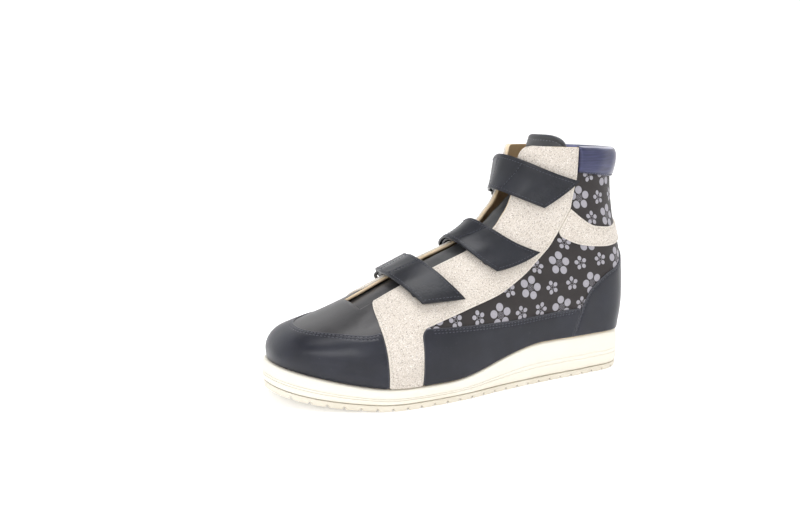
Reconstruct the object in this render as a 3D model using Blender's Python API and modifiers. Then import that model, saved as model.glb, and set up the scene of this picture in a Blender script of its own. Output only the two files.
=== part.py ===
"""Left high-top shoe on one last, closed by three hook-and-loop straps with rings.

Metres, +X to the toe, +Y to the wearer's left (the outer side), +Z up. The last's own
x runs from the back of the sole; the parent empty moves the heel's rest to the origin.
"""
import math

import bmesh
import bpy
from mathutils import Vector

# Driving sizes of the shoe
LENGTH = 0.272              # outsole, heel to toe
BALL_WIDTH = 0.098          # outsole across the ball
HEEL_WIDTH = 0.068          # outsole across the heel
TOE_HEIGHT = 0.0545         # top of the toe box above the floor
INSTEP_HEIGHT = 0.101       # ridge above the waist of the sole
COLLAR_HEIGHT = 0.1655      # front of the collar above the floor
COLLAR_WIDTH = 0.060        # across the collar, outside
HEEL_REST_FROM_BACK = 0.040

# Sole
HEEL_SOLE = 0.0295          # sole thickness under the heel
BALL_SOLE = 0.0140          # under the ball
TOE_SOLE = 0.0190           # under the toe tip
TOE_SPRING = 0.0090         # lift of the toe tip off the floor
SPRING_START = 0.70         # share of the length where the lift starts
TOE_LEDGE = 0.0040          # how far the sole stands out past the upper at the toe
HEEL_LEDGE = 0.0010         # and at the heel
OUTSOLE_THICKNESS = 0.0040
GROOVE_DEPTH = 0.0016
GROOVE_WIDTH = 0.0016
LUG_PITCH = 0.0098
OUTSOLE_INSET = 0.0006

# Upper and what it holds
WALL = 0.0022
THROAT_INNER = 0.0100       # from the ridge to the throat's inner edge, along the surface
THROAT_FRONT = 0.0165       # to its outer edge, at the toe end
THROAT_TOP = 0.0085         # to its outer edge, at the collar
THROAT_CORNER = 0.0090      # rounding of the flap's top corner
SEAT_GAP = 0.00035          # between pieces that touch
SOLE_GAP = 0.0006           # between the midsole and what stands on it
INSOLE_THICKNESS = 0.0030
INSOLE_CLEARANCE = 0.0010
TONGUE_THICKNESS = 0.0030
TONGUE_HALF = 0.0300        # half of the tongue's width over the foot, along the surface
TONGUE_TOP_HALF = 0.0470    # and at its top
TONGUE_SHOULDER = 1.3       # rows of the last by which its top corners are rounded off
TONGUE_CLEARANCE = 0.0013
TONGUE_LEAN = 0.0145        # how far its top leans back inside the collar

# Panels on the upper, collar pad, straps, rings and tabs
PANEL = 0.0012              # thickness of a leather or canvas panel
PANEL_SEAM = 0.0004         # between two panels that meet
PAD_BULGE = 0.0036          # how far the collar pad swells beyond its edge
PAD_EDGE = 0.0012           # its thickness at the edges
PAD_GAP = 0.0007
STRAP_WIDTH = 0.0250
STRAP_THICKNESS = 0.0018
STRAP_LOWER = 0.00305       # middle of the lower layer above the upper's face
STRAP_UPPER = 0.00535       # middle of the upper layer
STRAP_SLIT = 0.0300         # where the lower layer comes out, from the ridge
RING_WIRE = 0.0027
RING_LENGTH = 0.0315        # outside
RING_WIDTH = 0.0120         # outside
RING_CORNER = 0.0022        # of the wire's middle line
RING_STAND = 0.0064         # strap-side bar above the upper's face
RING_TILT = 15.0            # degrees by which it leans to its tab
RING_FIT = 0.0003           # between the wire and what runs round it
RING_EASE = 0.0120          # length over which a strap leaves the ring's plane
TAB_WIDTH = 0.0200
TAB_THICKNESS = 0.0012
TAB_REACH = 0.0065          # from the ring's outer bar to the tab's slit
TAB_HEIGHT = 0.0025         # middle of its lower layer at the slit

# The last, a row for each section. A section lies in a plane through its base point and
# its ridge point. Base: share of the length, then half width and centre as shares of half
# the named width; up the back seam the height is a share of the collar's. Level is the
# height share of the widest place, crown and cheek are the exponents above and below it.
LAST = [
    # name, along, up, width, half, centre, widest, level, ridge_along, ridge_up, height, shift, crown, cheek
    ("tip", 0.9853, None, "ball", 0.000, -0.225, 0.000, 0.30, 0.9853, 0.514, "toe", -0.225, 2.3, 2.2),
    ("toe", 0.9651, None, "ball", 0.350, -0.220, 0.372, 0.34, 0.9790, 0.690, "toe", -0.225, 2.3, 2.2),
    ("cap", 0.9118, None, "ball", 0.622, -0.190, 0.646, 0.34, 0.9449, 0.845, "toe", -0.205, 2.4, 2.2),
    ("plug", 0.8162, None, "ball", 0.822, -0.105, 0.858, 0.32, 0.8713, 0.958, "toe", -0.160, 2.4, 2.2),
    ("throat", 0.7240, None, "ball", 0.902, -0.020, 0.950, 0.30, 0.7831, 0.614, "instep", -0.125, 2.2, 2.2),
    ("ball", 0.5699, None, "ball", 0.820, 0.065, 0.857, 0.30, 0.5956, 0.861, "instep", -0.071, 1.95, 2.2),
    ("waist", 0.4338, None, "ball", 0.718, 0.069, 0.742, 0.32, 0.4816, 1.000, "instep", -0.031, 1.85, 2.3),
    ("shank", 0.2868, None, "heel", 0.980, 0.050, 1.008, 0.36, 0.4265, 0.683, "collar", 0.0, 1.9, 2.4),
    ("seat", 0.1618, None, "heel", 0.960, 0.012, 0.990, 0.38, 0.4026, 0.728, "collar", 0.0, 2.0, 2.5),
    ("heel", 0.0551, None, "heel", 0.800, 0.0, 0.978, 0.40, 0.3871, 0.761, "collar", 0.0, 2.0, 2.4),
    ("corner", 0.0037, None, "heel", 0.000, 0.0, 0.970, 0.42, 0.3772, 0.789, "collar", 0.0, 2.0, 2.2),
    ("counter", -0.0062, 0.314, "heel", 0.0, 0.0, 0.960, 0.44, 0.3662, 0.822, "collar", 0.0, 2.0, 2.2),
    ("ankle", 0.0015, 0.502, "heel", 0.0, 0.0, 0.930, 0.46, 0.3588, 0.849, "collar", 0.0, 2.0, 2.2),
    ("neck", 0.0290, 0.683, "collar", 0.0, 0.0, 0.983, 0.49, 0.3529, 0.879, "collar", 0.0, 2.0, 2.2),
    ("cuff", 0.0430, 0.852, "collar", 0.0, 0.0, 0.973, 0.50, 0.3485, 0.915, "collar", 0.0, 2.0, 2.2),
    ("rim", 0.0400, 0.979, "collar", 0.0, 0.0, 1.000, 0.50, 0.3364, 1.000, "collar", 0.0, 2.0, 2.2),
    ("above", 0.0410, 1.051, "collar", 0.0, 0.0, 1.017, 0.50, 0.3217, 1.070, "collar", 0.0, 2.0, 2.2),
]
ROW = {row[0]: index for index, row in enumerate(LAST)}
STEPS_TO_NEXT_ROW = [2, 2, 2, 2, 4, 3, 3, 2, 3, 3, 3, 2, 2, 2, 2]
SIDE_COLUMNS = 8            # from the base to the edge of the throat
HEEL_CROWDING = 0.5         # how much closer the columns stand round the back of the heel
PLUG_COLUMNS = 2            # from there to the ridge
ARC_SAMPLES = 48
OUTLINE_STEPS = 30          # stations along the sole's outline

HALF_WIDTHS = {"ball": BALL_WIDTH / 2, "heel": HEEL_WIDTH / 2, "collar": COLLAR_WIDTH / 2}
HEIGHTS = {"toe": TOE_HEIGHT, "instep": INSTEP_HEIGHT, "collar": COLLAR_HEIGHT}


def smooth_step(low, high, value):
    """0 below low, 1 above high and a soft S between them."""
    share = min(max((value - low) / (high - low), 0.0), 1.0)
    return share * share * (3 - 2 * share)


def floor_line(x):
    """Height of the sole's underside: flat, then lifting to the toe."""
    lift = max(x / LENGTH - SPRING_START, 0.0) / (1 - SPRING_START)
    return TOE_SPRING * lift * lift


def sole_top(x):
    """Height of the sole's upper face, the line where the upper is joined to it."""
    heel_share = 1 - smooth_step(0.30, 0.60, x / LENGTH)
    toe_share = smooth_step(0.70, 0.99, x / LENGTH)
    thickness = BALL_SOLE + (HEEL_SOLE - BALL_SOLE) * heel_share + (TOE_SOLE - BALL_SOLE) * toe_share
    return floor_line(x) + thickness


def through(values, position, before=None, after=None):
    """Smooth curve through evenly spaced values, read at a position between them."""
    first = 2 * values[0] - values[1] if before is None else before
    last = 2 * values[-1] - values[-2] if after is None else after
    padded = [first] + list(values) + [last]
    index = min(max(int(math.floor(position)), 0), len(values) - 2)
    share = position - index
    a, b, c, d = padded[index:index + 4]
    slope_b, slope_c = (c - a) / 2, (d - b) / 2
    square, cube = share * share, share * share * share
    return (b * (2 * cube - 3 * square + 1) + slope_b * (cube - 2 * square + share)
            + c * (3 * square - 2 * cube) + slope_c * (cube - square))


def column(index, scale=None):
    """One column of the last's table, scaled where a name gives what it follows."""
    if scale is None:
        return [row[index] for row in LAST]
    name_at, sizes = scale
    return [row[index] * sizes[row[name_at]] for row in LAST]


CORNER = ROW["corner"]
BASE_X = [share * LENGTH for share in column(1)]
BASE_HALF = column(4, (3, HALF_WIDTHS))
BASE_CENTRE = column(5, (3, HALF_WIDTHS))
WIDEST = column(6, (3, HALF_WIDTHS))
LEVEL = column(7)
RIDGE_X = [share * LENGTH for share in column(8)]
RIDGE_Z = column(9, (10, HEIGHTS))
RIDGE_SHIFT = [row[11] * HALF_WIDTHS[row[3]] for row in LAST]
CROWN = column(12)
CHEEK = column(13)
SEAM_Z = [sole_top(BASE_X[CORNER])] + [row[2] * COLLAR_HEIGHT for row in LAST[CORNER + 1:]]
SEAM_ROWS = [SEAM_Z[0]] * CORNER + SEAM_Z
RIDGE_Z[0] = sole_top(BASE_X[0])


def feather(row):
    """Where the upper meets the sole at a row: x, half width and centre."""
    x = through(BASE_X[:CORNER + 1], row, BASE_X[1], BASE_X[CORNER - 1])
    half = through(BASE_HALF[:CORNER + 1], row, -BASE_HALF[1], -BASE_HALF[CORNER - 1])
    centre = through(BASE_CENTRE[:CORNER + 1], row, BASE_CENTRE[1], BASE_CENTRE[CORNER - 1])
    return x, max(half, 0.0), centre


def last_value(values, row, before=None):
    """A column of the last at a row. It eases into the heel's corner, as the base line does."""
    if row <= CORNER:
        return through(values[:CORNER + 1], row, before, values[CORNER - 1])
    return through(values[CORNER:], row - CORNER)


def look_up(table, place):
    """Value of a rising table of pairs at a place, held beyond its ends."""
    if place <= table[0][0]:
        return table[0][1]
    for (low, first), (high, second) in zip(table, table[1:]):
        if low <= place <= high:
            return first + (second - first) * (place - low) / max(high - low, 1e-9)
    return table[-1][1]


# Half width of the base line against x, and x of the back seam against height
PLAN = [feather(CORNER - step / 20)[:2] for step in range(20 * (CORNER - ROW["throat"]))]
BACK = [(last_value(SEAM_ROWS, CORNER + step / 10), last_value(BASE_X, CORNER + step / 10))
        for step in range(10 * (ROW["above"] - CORNER))]


def round_heel(up, base, ridge):
    """Half width of the base line that a place of a section stands over."""
    x, z = base[0] + (ridge[0] - base[0]) * up, base[1] + (ridge[1] - base[1]) * up
    return look_up(PLAN, x - look_up(BACK, z) + BASE_X[CORNER])


SECTIONS = {}


def section(row):
    """Points of one section's left half from base to ridge, with their distance along it."""
    key = round(row, 5)
    if key in SECTIONS:
        return SECTIONS[key]
    if row <= CORNER:
        base_x, base_half, base_y = feather(row)
        base_z = sole_top(base_x)
    else:
        base_x = last_value(BASE_X, row)
        base_z = last_value(SEAM_ROWS, row)
        base_half, base_y = 0.0, 0.0
    ridge_x = last_value(RIDGE_X, row, RIDGE_X[1])
    ridge_z = last_value(RIDGE_Z, row, 2 * RIDGE_Z[0] - RIDGE_Z[1])
    ridge_y = last_value(RIDGE_SHIFT, row, RIDGE_SHIFT[1])
    widest = max(last_value(WIDEST, row, -WIDEST[1]), base_half)
    level = last_value(LEVEL, row)
    crown = last_value(CROWN, row)
    cheek = last_value(CHEEK, row)
    share = min(base_half / widest, 0.995) if widest > 1e-6 else 0.995
    first = math.asin(share ** (cheek / 2))
    depth = level / max(math.cos(first) ** (2 / cheek), 1e-6)
    shape = []
    for step in range(ARC_SAMPLES + 1):
        angle = first + (math.pi / 2 - first) * step / ARC_SAMPLES
        up = level - depth * max(math.cos(angle), 0.0) ** (2 / cheek)
        shape.append((up, widest * math.sin(angle) ** (2 / cheek)))
    for step in range(1, ARC_SAMPLES + 1):
        angle = math.pi / 2 * step / ARC_SAMPLES
        cosine = max(math.cos(angle), 0.0)
        up = level + (1 - level) * math.sin(angle) ** (2 / crown)
        shape.append((up, widest * cosine ** (2 / crown)))
    heel = (smooth_step(ROW["shank"], ROW["seat"] + 0.5, row)
            * (1 - smooth_step(ROW["counter"], ROW["neck"], row)))
    if heel > 0:
        ends = (base_x, base_z), (ridge_x, ridge_z)
        reach = widest / round_heel(level, *ends)
        for number, (up, half) in enumerate(shape[:ARC_SAMPLES + 1]):
            rounded = round_heel(up, *ends) * (1 + (reach - 1) * smooth_step(0, level, up))
            shape[number] = (up, half + (rounded - half) * heel)
    base, ridge = Vector((base_x, base_y, base_z)), Vector((ridge_x, ridge_y, ridge_z))
    span = math.dist((base_x, base_z), (ridge_x, ridge_z))
    lengths = [0.0]
    for (up_a, half_a), (up_b, half_b) in zip(shape, shape[1:]):
        lengths.append(lengths[-1] + math.hypot((up_b - up_a) * span, half_b - half_a))
    SECTIONS[key] = (base, ridge, shape, lengths)
    return SECTIONS[key]


def girth(row):
    """Length of the section from base to ridge, on one side."""
    return section(row)[3][-1]


def skin(row, across):
    """Point of the upper's outer face: across is the distance from the ridge, + outwards."""
    base, ridge, shape, lengths = section(row)
    wanted = min(max(lengths[-1] - abs(across), 0.0), lengths[-1])
    low, high = 0, len(lengths) - 1
    while high - low > 1:
        middle = (low + high) // 2
        if lengths[middle] <= wanted:
            low = middle
        else:
            high = middle
    gap = lengths[high] - lengths[low]
    share = (wanted - lengths[low]) / gap if gap > 0 else 0.0
    up = shape[low][0] + (shape[high][0] - shape[low][0]) * share
    half = shape[low][1] + (shape[high][1] - shape[low][1]) * share
    point = base.lerp(ridge, up)
    point.y += math.copysign(half, across)
    return point


def outward(row, across):
    """Direction that points out of the upper at a place of its outer face."""
    step_row, step_across = 0.02, 0.0008
    along = skin(row + step_row, across) - skin(row - step_row, across)
    around = skin(row, across + step_across) - skin(row, across - step_across)
    normal = along.cross(around)
    return -normal.normalized() if around.length > 0 else Vector((0, 0, 1))


def throat_edge(row, side):
    """Distance from the ridge to the throat's edge, with the flap's top corner rounded."""
    up = (row - ROW["throat"]) / (ROW["rim"] - ROW["throat"])
    edge = THROAT_FRONT + (THROAT_TOP - THROAT_FRONT) * min(max(up, 0.0), 1.0)
    if side < 0:
        edge = THROAT_INNER
    start = ROW["cuff"] + 0.35
    rise = min(max((row - start) / (ROW["rim"] - start), 0.0), 1.0)
    return min(edge + THROAT_CORNER * (1 - math.sqrt(1 - rise * rise)), girth(row) * 0.4)


GRID_ROWS = [0.0]
for start, steps in enumerate(STEPS_TO_NEXT_ROW):
    to_next = [(step + 1) / steps for step in range(steps)]
    if start == CORNER - 1:
        to_next = [1 - math.sqrt(1 - share) for share in to_next]
    GRID_ROWS += [start + share for share in to_next]


def grid_across(row):
    """Distances from the ridge at which the upper's grid has a column, left to right."""
    whole = girth(row)
    power = 1 + HEEL_CROWDING * smooth_step(ROW["shank"], ROW["heel"], row)
    halves = []
    for side in (1, -1):
        edge = throat_edge(row, side)
        half = [whole - (whole - edge) * (step / SIDE_COLUMNS) ** power
                for step in range(SIDE_COLUMNS + 1)]
        half += [edge * (1 - step / PLUG_COLUMNS) for step in range(1, PLUG_COLUMNS)]
        halves.append([side * value for value in half])
    return halves[0] + [0.0] + halves[1][::-1]


def paint(thing, name, colour, roughness, metallic=0.0):
    """Give an object its own Principled material."""
    material = bpy.data.materials.new(name)
    material.use_nodes = True
    shader = material.node_tree.nodes["Principled BSDF"]
    shader.inputs["Base Color"].default_value = (*colour, 1.0)
    shader.inputs["Roughness"].default_value = roughness
    shader.inputs["Metallic"].default_value = metallic
    thing.data.materials.append(material)


def as_object(name, mesh_builder, colour, roughness, metallic=0.0, smooth=35):
    """Turn a finished bmesh into a named, painted object under the shoe's empty."""
    bmesh.ops.recalc_face_normals(mesh_builder, faces=mesh_builder.faces)
    mesh = bpy.data.meshes.new(name)
    mesh_builder.to_mesh(mesh)
    mesh_builder.free()
    mesh.shade_smooth()
    mesh.set_sharp_from_angle(angle=math.radians(smooth))
    thing = bpy.data.objects.new(name, mesh)
    pieces.objects.link(thing)
    thing.parent = shoe
    paint(thing, name, colour, roughness, metallic)
    return thing


def thicken(thing, thickness, offset):
    """Solidify an open surface: offset -1 grows inwards, 1 outwards, 0 both ways."""
    modifier = thing.modifiers.new("thickness", 'SOLIDIFY')
    modifier.thickness = thickness
    modifier.offset = offset
    modifier.use_rim = True
    modifier.use_quality_normals = True


def open_grid(rows_of_points, close_first=False):
    """Open surface through rows of points; close_first joins the first row in one point."""
    builder = bmesh.new()
    grid = []
    for number, points in enumerate(rows_of_points):
        if close_first and number == 0:
            grid.append([builder.verts.new(points[0])] * len(points))
        else:
            grid.append([builder.verts.new(point) for point in points])
    for upper_row, lower_row in zip(grid, grid[1:]):
        for column_number in range(len(upper_row) - 1):
            corners = [upper_row[column_number], upper_row[column_number + 1],
                       lower_row[column_number + 1], lower_row[column_number]]
            builder.faces.new(dict.fromkeys(corners))
    return builder


def face_up(builder, reference):
    """Turn an open surface so that the face nearest to the reference point faces up."""
    bmesh.ops.recalc_face_normals(builder, faces=builder.faces)
    nearest = min(builder.faces, key=lambda face: (face.calc_center_median() - reference).length)
    if nearest.normal.z < 0:
        bmesh.ops.reverse_faces(builder, faces=builder.faces)


def upper_surface(clear=0.0):
    """The upper's outer face as an open grid, moved out by a clearance."""
    builder = bmesh.new()
    grid = []
    for row in GRID_ROWS:
        places = grid_across(row)
        if row == 0:
            grid.append([builder.verts.new(skin(0, 0))] * len(places))
            continue
        verts = [builder.verts.new(skin(row, across)) for across in places[:-1]]
        if row >= CORNER:
            verts.append(verts[0])
        else:
            verts.append(builder.verts.new(skin(row, places[-1])))
        grid.append(verts)
    for number, (front, rear) in enumerate(zip(grid, grid[1:])):
        for at in range(len(front) - 1):
            in_throat = SIDE_COLUMNS <= at < SIDE_COLUMNS + 2 * PLUG_COLUMNS
            if in_throat and GRID_ROWS[number] >= ROW["throat"]:
                continue
            builder.faces.new(dict.fromkeys([front[at], front[at + 1], rear[at + 1], rear[at]]))
    loose = [vert for vert in builder.verts if not vert.link_faces]
    bmesh.ops.delete(builder, geom=loose, context='VERTS')
    bmesh.ops.triangulate(builder, faces=builder.faces, quad_method='SHORT_EDGE')
    face_up(builder, skin(ROW["plug"], 0))
    builder.normal_update()
    if clear:
        for vert in builder.verts:
            vert.co += vert.normal * clear
    return builder


def sole_outline(margin):
    """Pairs of outline points, left and right at each station, a margin out from the upper."""
    pairs = []
    count = OUTLINE_STEPS
    for step in range(count + 1):
        row = CORNER * step / count
        x, half, centre = feather(row)
        ahead = feather(min(row + 0.02, CORNER))
        behind = feather(max(row - 0.02, 0))
        ledge = HEEL_LEDGE + (TOE_LEDGE - HEEL_LEDGE) * smooth_step(0.1, 0.9, x / LENGTH) + margin
        sides = []
        for side in (1, -1):
            run_x = ahead[0] - behind[0]
            run_y = (ahead[2] + side * ahead[1]) - (behind[2] + side * behind[1])
            if step in (0, count):
                run_x, run_y = 0.0, side
            normal = Vector((-side * run_y, side * run_x, 0)).normalized()
            if normal.y * side < 0:
                normal = -normal
            if step == 0:
                normal = Vector((1, 0, 0))
            if step == count:
                normal = Vector((-1, 0, 0))
            sides.append(Vector((x, centre + side * half, 0)) + normal * ledge)
        pairs.append(sides)
    return pairs


def slab(levels):
    """Closed solid through levels of outline pairs, each level with its height function."""
    builder = bmesh.new()
    rings = []
    for pairs, height in levels:
        left = [Vector((p.x, p.y, height(p.x))) for p, _ in pairs]
        right = [Vector((p.x, p.y, height(p.x))) for _, p in pairs[1:-1]]
        rings.append([builder.verts.new(p) for p in left + right[::-1]])
    size = len(rings[0])
    for lower, higher in zip(rings, rings[1:]):
        for at in range(size):
            after = (at + 1) % size
            builder.faces.new([lower[at], lower[after], higher[after], higher[at]])
    stations = len(levels[0][0])
    for ring in (rings[0], rings[-1]):
        for at in range(stations - 1):
            left = [ring[at], ring[at + 1]]
            right = [ring[(size - at - 1) % size], ring[(size - at) % size]]
            builder.faces.new(dict.fromkeys(left + right))
    return builder


for thing in list(bpy.data.objects):
    bpy.data.objects.remove(thing, do_unlink=True)
pieces = bpy.data.collections.new("high_top_shoe")
bpy.context.scene.collection.children.link(pieces)
cutters = bpy.data.collections.new("cutters")
bpy.context.scene.collection.children.link(cutters)
shoe = bpy.data.objects.new("shoe", None)
shoe.location.x = -HEEL_REST_FROM_BACK
pieces.objects.link(shoe)

# Midsole: a cream foam wedge. Each level is a share of its side's height and how far it
# stands out; the two shallow lines along the side are steps in it.
MIDSOLE_SIDE = [
    # height share, margin out from the ledge
    (0.00, -0.0012),
    (0.08, 0.0000),
    (0.30, 0.0003),
    (0.34, -0.0005),
    (0.39, 0.0002),
    (0.74, 0.0000),
    (0.92, -0.0008),
    (1.00, -0.0020),
]


def midsole_level(share):
    """Height function of one level of the midsole's side."""
    def height(x):
        bottom = floor_line(x) + OUTSOLE_THICKNESS + SEAT_GAP
        return bottom + (sole_top(x) - SOLE_GAP - bottom) * share
    return height


midsole_levels = [(sole_outline(margin), midsole_level(share)) for share, margin in MIDSOLE_SIDE]
midsole = as_object("midsole", slab(midsole_levels), (0.86, 0.82, 0.70), 0.55)

# Outsole: a thin rubber sheet whose underside is cut across by grooves into lugs
outline_pairs = sole_outline(-OUTSOLE_INSET)


def outline_at(x):
    """Left and right edge of the outsole at a station along it."""
    pairs = outline_pairs
    x = min(max(x, pairs[-1][0].x), pairs[0][0].x)
    edges = []
    for side in (0, 1):
        for ahead, behind in zip(pairs, pairs[1:]):
            if behind[side].x <= x <= ahead[side].x:
                span = ahead[side].x - behind[side].x
                share = (ahead[side].x - x) / span if span > 0 else 0.0
                edges.append(ahead[side].y + (behind[side].y - ahead[side].y) * share)
                break
    return edges


def outsole_stations():
    """Stations along the outsole with the height of its underside there."""
    back, front = outline_pairs[-1][0].x, outline_pairs[0][0].x
    stations = []
    lug_count = round((front - back) / LUG_PITCH)
    pitch = (front - back) / lug_count
    for number in range(lug_count):
        start, end = back + number * pitch, back + (number + 1) * pitch
        land = end - GROOVE_WIDTH if number < lug_count - 1 else end
        if number in (0, lug_count - 1):
            ends = [0.004, 0.018, 0.045, 0.09, 0.16, 0.27, 0.42, 0.66, 1.0]
            shares = ends if number == 0 else [1 - share for share in reversed(ends)]
            stations += [(start + (land - start) * share, 0.0) for share in shares]
            if number:
                stations.append((front - 0.004 * pitch, 0.0))
        else:
            stations += [(start, 0.0), (land, 0.0)]
        if number < lug_count - 1:
            wall = GROOVE_WIDTH * 0.12
            stations += [(land + wall, GROOVE_DEPTH), (end - wall, GROOVE_DEPTH)]
    return sorted(set(stations))


builder = bmesh.new()
hoops = []
for x, lift in outsole_stations():
    left, right = outline_at(x)
    low = floor_line(x) + lift
    high = floor_line(x) + OUTSOLE_THICKNESS
    corners = [(x, left, low), (x, left, high), (x, right, high), (x, right, low)]
    hoops.append([builder.verts.new(corner) for corner in corners])
for behind, ahead in zip(hoops, hoops[1:]):
    for at in range(4):
        after = (at + 1) % 4
        builder.faces.new([behind[at], behind[after], ahead[after], ahead[at]])
builder.faces.new(hoops[0])
builder.faces.new(hoops[-1])
outsole = as_object("outsole", builder, (0.80, 0.76, 0.66), 0.7, smooth=20)

# Insole: a thin leather-covered sheet inside the upper's wall
INSOLE_MARGIN = -(WALL + INSOLE_CLEARANCE)


def ledge_free(margin):
    """Outline pairs at a margin from the upper's base line, without the sole's ledge."""
    pairs = []
    count = OUTLINE_STEPS
    for step in range(count + 1):
        row = CORNER * step / count
        x, half, centre = feather(row)
        x_share = (x - BASE_X[CORNER]) / (BASE_X[0] - BASE_X[CORNER])
        inner_x = BASE_X[CORNER] - margin + (BASE_X[0] - BASE_X[CORNER] + 2 * margin) * x_share
        inner_half = max(half + margin, 0.0) if 0 < step < count else 0.0
        pairs.append([Vector((inner_x, centre + inner_half, 0)), Vector((inner_x, centre - inner_half, 0))])
    return pairs


insole_outline = ledge_free(INSOLE_MARGIN)
insole = as_object("insole", slab([
    (insole_outline, sole_top),
    (insole_outline, lambda x: sole_top(x) + INSOLE_THICKNESS),
]), (0.55, 0.38, 0.22), 0.7)

# Upper: one hollow shell on the last, open at the collar, the throat and underneath
upper = as_object("upper", upper_surface(), (0.03, 0.035, 0.05), 0.5)
thicken(upper, WALL, -1)

# Tongue: a padded tab from under the vamp up past the rim, leaning back at its top
TONGUE_START = ROW["throat"] - 0.6
TONGUE_END = ROW["above"] - 0.25
TONGUE_COLUMNS = 6


def tongue_point(row, share):
    """Point of the tongue's outer face, share -1 to 1 across its width."""
    rise = smooth_step(ROW["ball"], ROW["rim"], row)
    half = TONGUE_HALF + (TONGUE_TOP_HALF - TONGUE_HALF) * rise
    shaft = max(row - ROW["ankle"], 0.0) / (TONGUE_END - ROW["ankle"])
    row -= TONGUE_SHOULDER * shaft ** 2 * abs(share) ** 3
    lean = TONGUE_LEAN * rise * (1 - share * share)
    point = skin(row, half * share) - outward(row, half * share) * (WALL + TONGUE_CLEARANCE)
    point.x -= lean
    return point


tongue_rows = [row for row in GRID_ROWS[::2] if TONGUE_START < row < ROW["rim"] - 0.5]
tongue_rows += [ROW["rim"], (ROW["rim"] + TONGUE_END) / 2, TONGUE_END]
shares = [2 * step / TONGUE_COLUMNS - 1 for step in range(TONGUE_COLUMNS + 1)]
builder = open_grid([[tongue_point(row, share) for share in shares] for row in tongue_rows])
face_up(builder, skin(ROW["ball"], 0))
tongue = as_object("tongue", builder, (0.06, 0.06, 0.07), 0.6)
thicken(tongue, TONGUE_THICKNESS, -1)

# Seams between the panels, seen from the side: shares of the length and of the collar's
# height. Each seam is given once, and both of its panels are cut along it.
SEAMS = {
    "canvas_front": [(0.750, 0.060), (0.754, 0.175), (0.757, 0.302), (0.757, 0.332), (0.750, 0.381),
                     (0.728, 0.417)],
    "strip_back": [(0.669, 0.060), (0.665, 0.193), (0.662, 0.278), (0.651, 0.305)],
    "canvas_lower": [(0.651, 0.305), (0.537, 0.357), (0.456, 0.393), (0.415, 0.423), (0.360, 0.477),
                     (0.327, 0.520), (0.283, 0.580), (0.261, 0.628)],
    "canvas_rear": [(0.224, 0.737), (0.213, 0.816), (0.206, 0.882), (0.206, 1.060)],
    "guard_top": [(0.651, 0.305), (0.537, 0.299), (0.408, 0.293), (0.268, 0.302), (0.184, 0.305)],
    "counter_top": [(-0.040, 0.575), (-0.004, 0.544), (0.029, 0.514), (0.066, 0.471), (0.107, 0.441),
                    (0.156, 0.381), (0.184, 0.305)],
    "counter_front": [(0.184, 0.305), (0.202, 0.230), (0.228, 0.121)],
    "band_top": [(0.224, 0.737), (0.195, 0.698), (0.162, 0.665), (0.132, 0.653), (0.081, 0.647),
                 (0.029, 0.665), (-0.040, 0.690)],
    "band_bottom": [(-0.040, 0.612), (0.011, 0.592), (0.070, 0.568), (0.125, 0.565), (0.202, 0.583),
                    (0.261, 0.628)],
    "toe_top": [(0.757, 0.302), (0.790, 0.293), (0.849, 0.295), (0.912, 0.293), (1.050, 0.293)],
}
SIDE = 0.4                  # share of the length that a panel's cutter reaches to a side
ABOVE_SOLE = 0.0001         # how far the panels end above the sole's face


def seam(name, backwards=False):
    """Points of a seam in the side view, in metres."""
    points = [(along * LENGTH, up * COLLAR_HEIGHT) for along, up in SEAMS[name]]
    return points[::-1] if backwards else points


def above_sole(first, last, steps=8):
    """Line just above the sole's face between two stations."""
    stations = [first + (last - first) * step / steps for step in range(steps + 1)]
    return [(x, sole_top(x) + ABOVE_SOLE) for x in stations]


def meeting(name):
    """Station where a seam that runs down meets the sole's face."""
    points = seam(name)
    for (x_a, z_a), (x_b, z_b) in zip(points, points[1:]):
        if min(z_a, z_b) <= sole_top((x_a + x_b) / 2) <= max(z_a, z_b):
            share = (sole_top((x_a + x_b) / 2) - z_a) / (z_b - z_a)
            return x_a + (x_b - x_a) * share
    return points[0][0]


def higher(points):
    """The points of a seam that lie above the sole."""
    return [(x, z) for x, z in points if z > sole_top(x) + PANEL]


def inset(points, margin):
    """Polygon moved inwards by a margin, whichever way round it runs."""
    area = sum(a[0] * b[1] - b[0] * a[1] for a, b in zip(points, points[1:] + points[:1]))
    turn = math.copysign(1.0, area)
    moved = []
    for at, point in enumerate(points):
        before = Vector(point) - Vector(points[at - 1])
        after = Vector(points[(at + 1) % len(points)]) - Vector(point)
        first = Vector((-before.y, before.x)).normalized() * turn
        second = Vector((-after.y, after.x)).normalized() * turn
        middle = first + second
        scale = 2 * margin / max(middle.dot(middle), 1.0)
        moved.append(Vector(point) + middle * scale)
    return moved


def prism(name, points, sides):
    """Cutter with the outline of a panel in the side view, to the outer, inner or both sides."""
    reach = SIDE * LENGTH
    near = -reach if "inner" in sides else 0.0
    far = reach if "outer" in sides else 0.0
    builder = bmesh.new()
    front = [builder.verts.new((p.x, near, p.y)) for p in points]
    back = [builder.verts.new((p.x, far, p.y)) for p in points]
    builder.faces.new(front)
    builder.faces.new(back)
    for at in range(len(points)):
        after = (at + 1) % len(points)
        builder.faces.new([front[at], front[after], back[after], back[at]])
    bmesh.ops.recalc_face_normals(builder, faces=builder.faces)
    mesh = bpy.data.meshes.new(name)
    builder.to_mesh(mesh)
    builder.free()
    cutter = bpy.data.objects.new(name, mesh)
    cutters.objects.link(cutter)
    cutter.parent = shoe
    cutter.hide_render = True
    cutter.display_type = 'WIRE'
    return cutter


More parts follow.
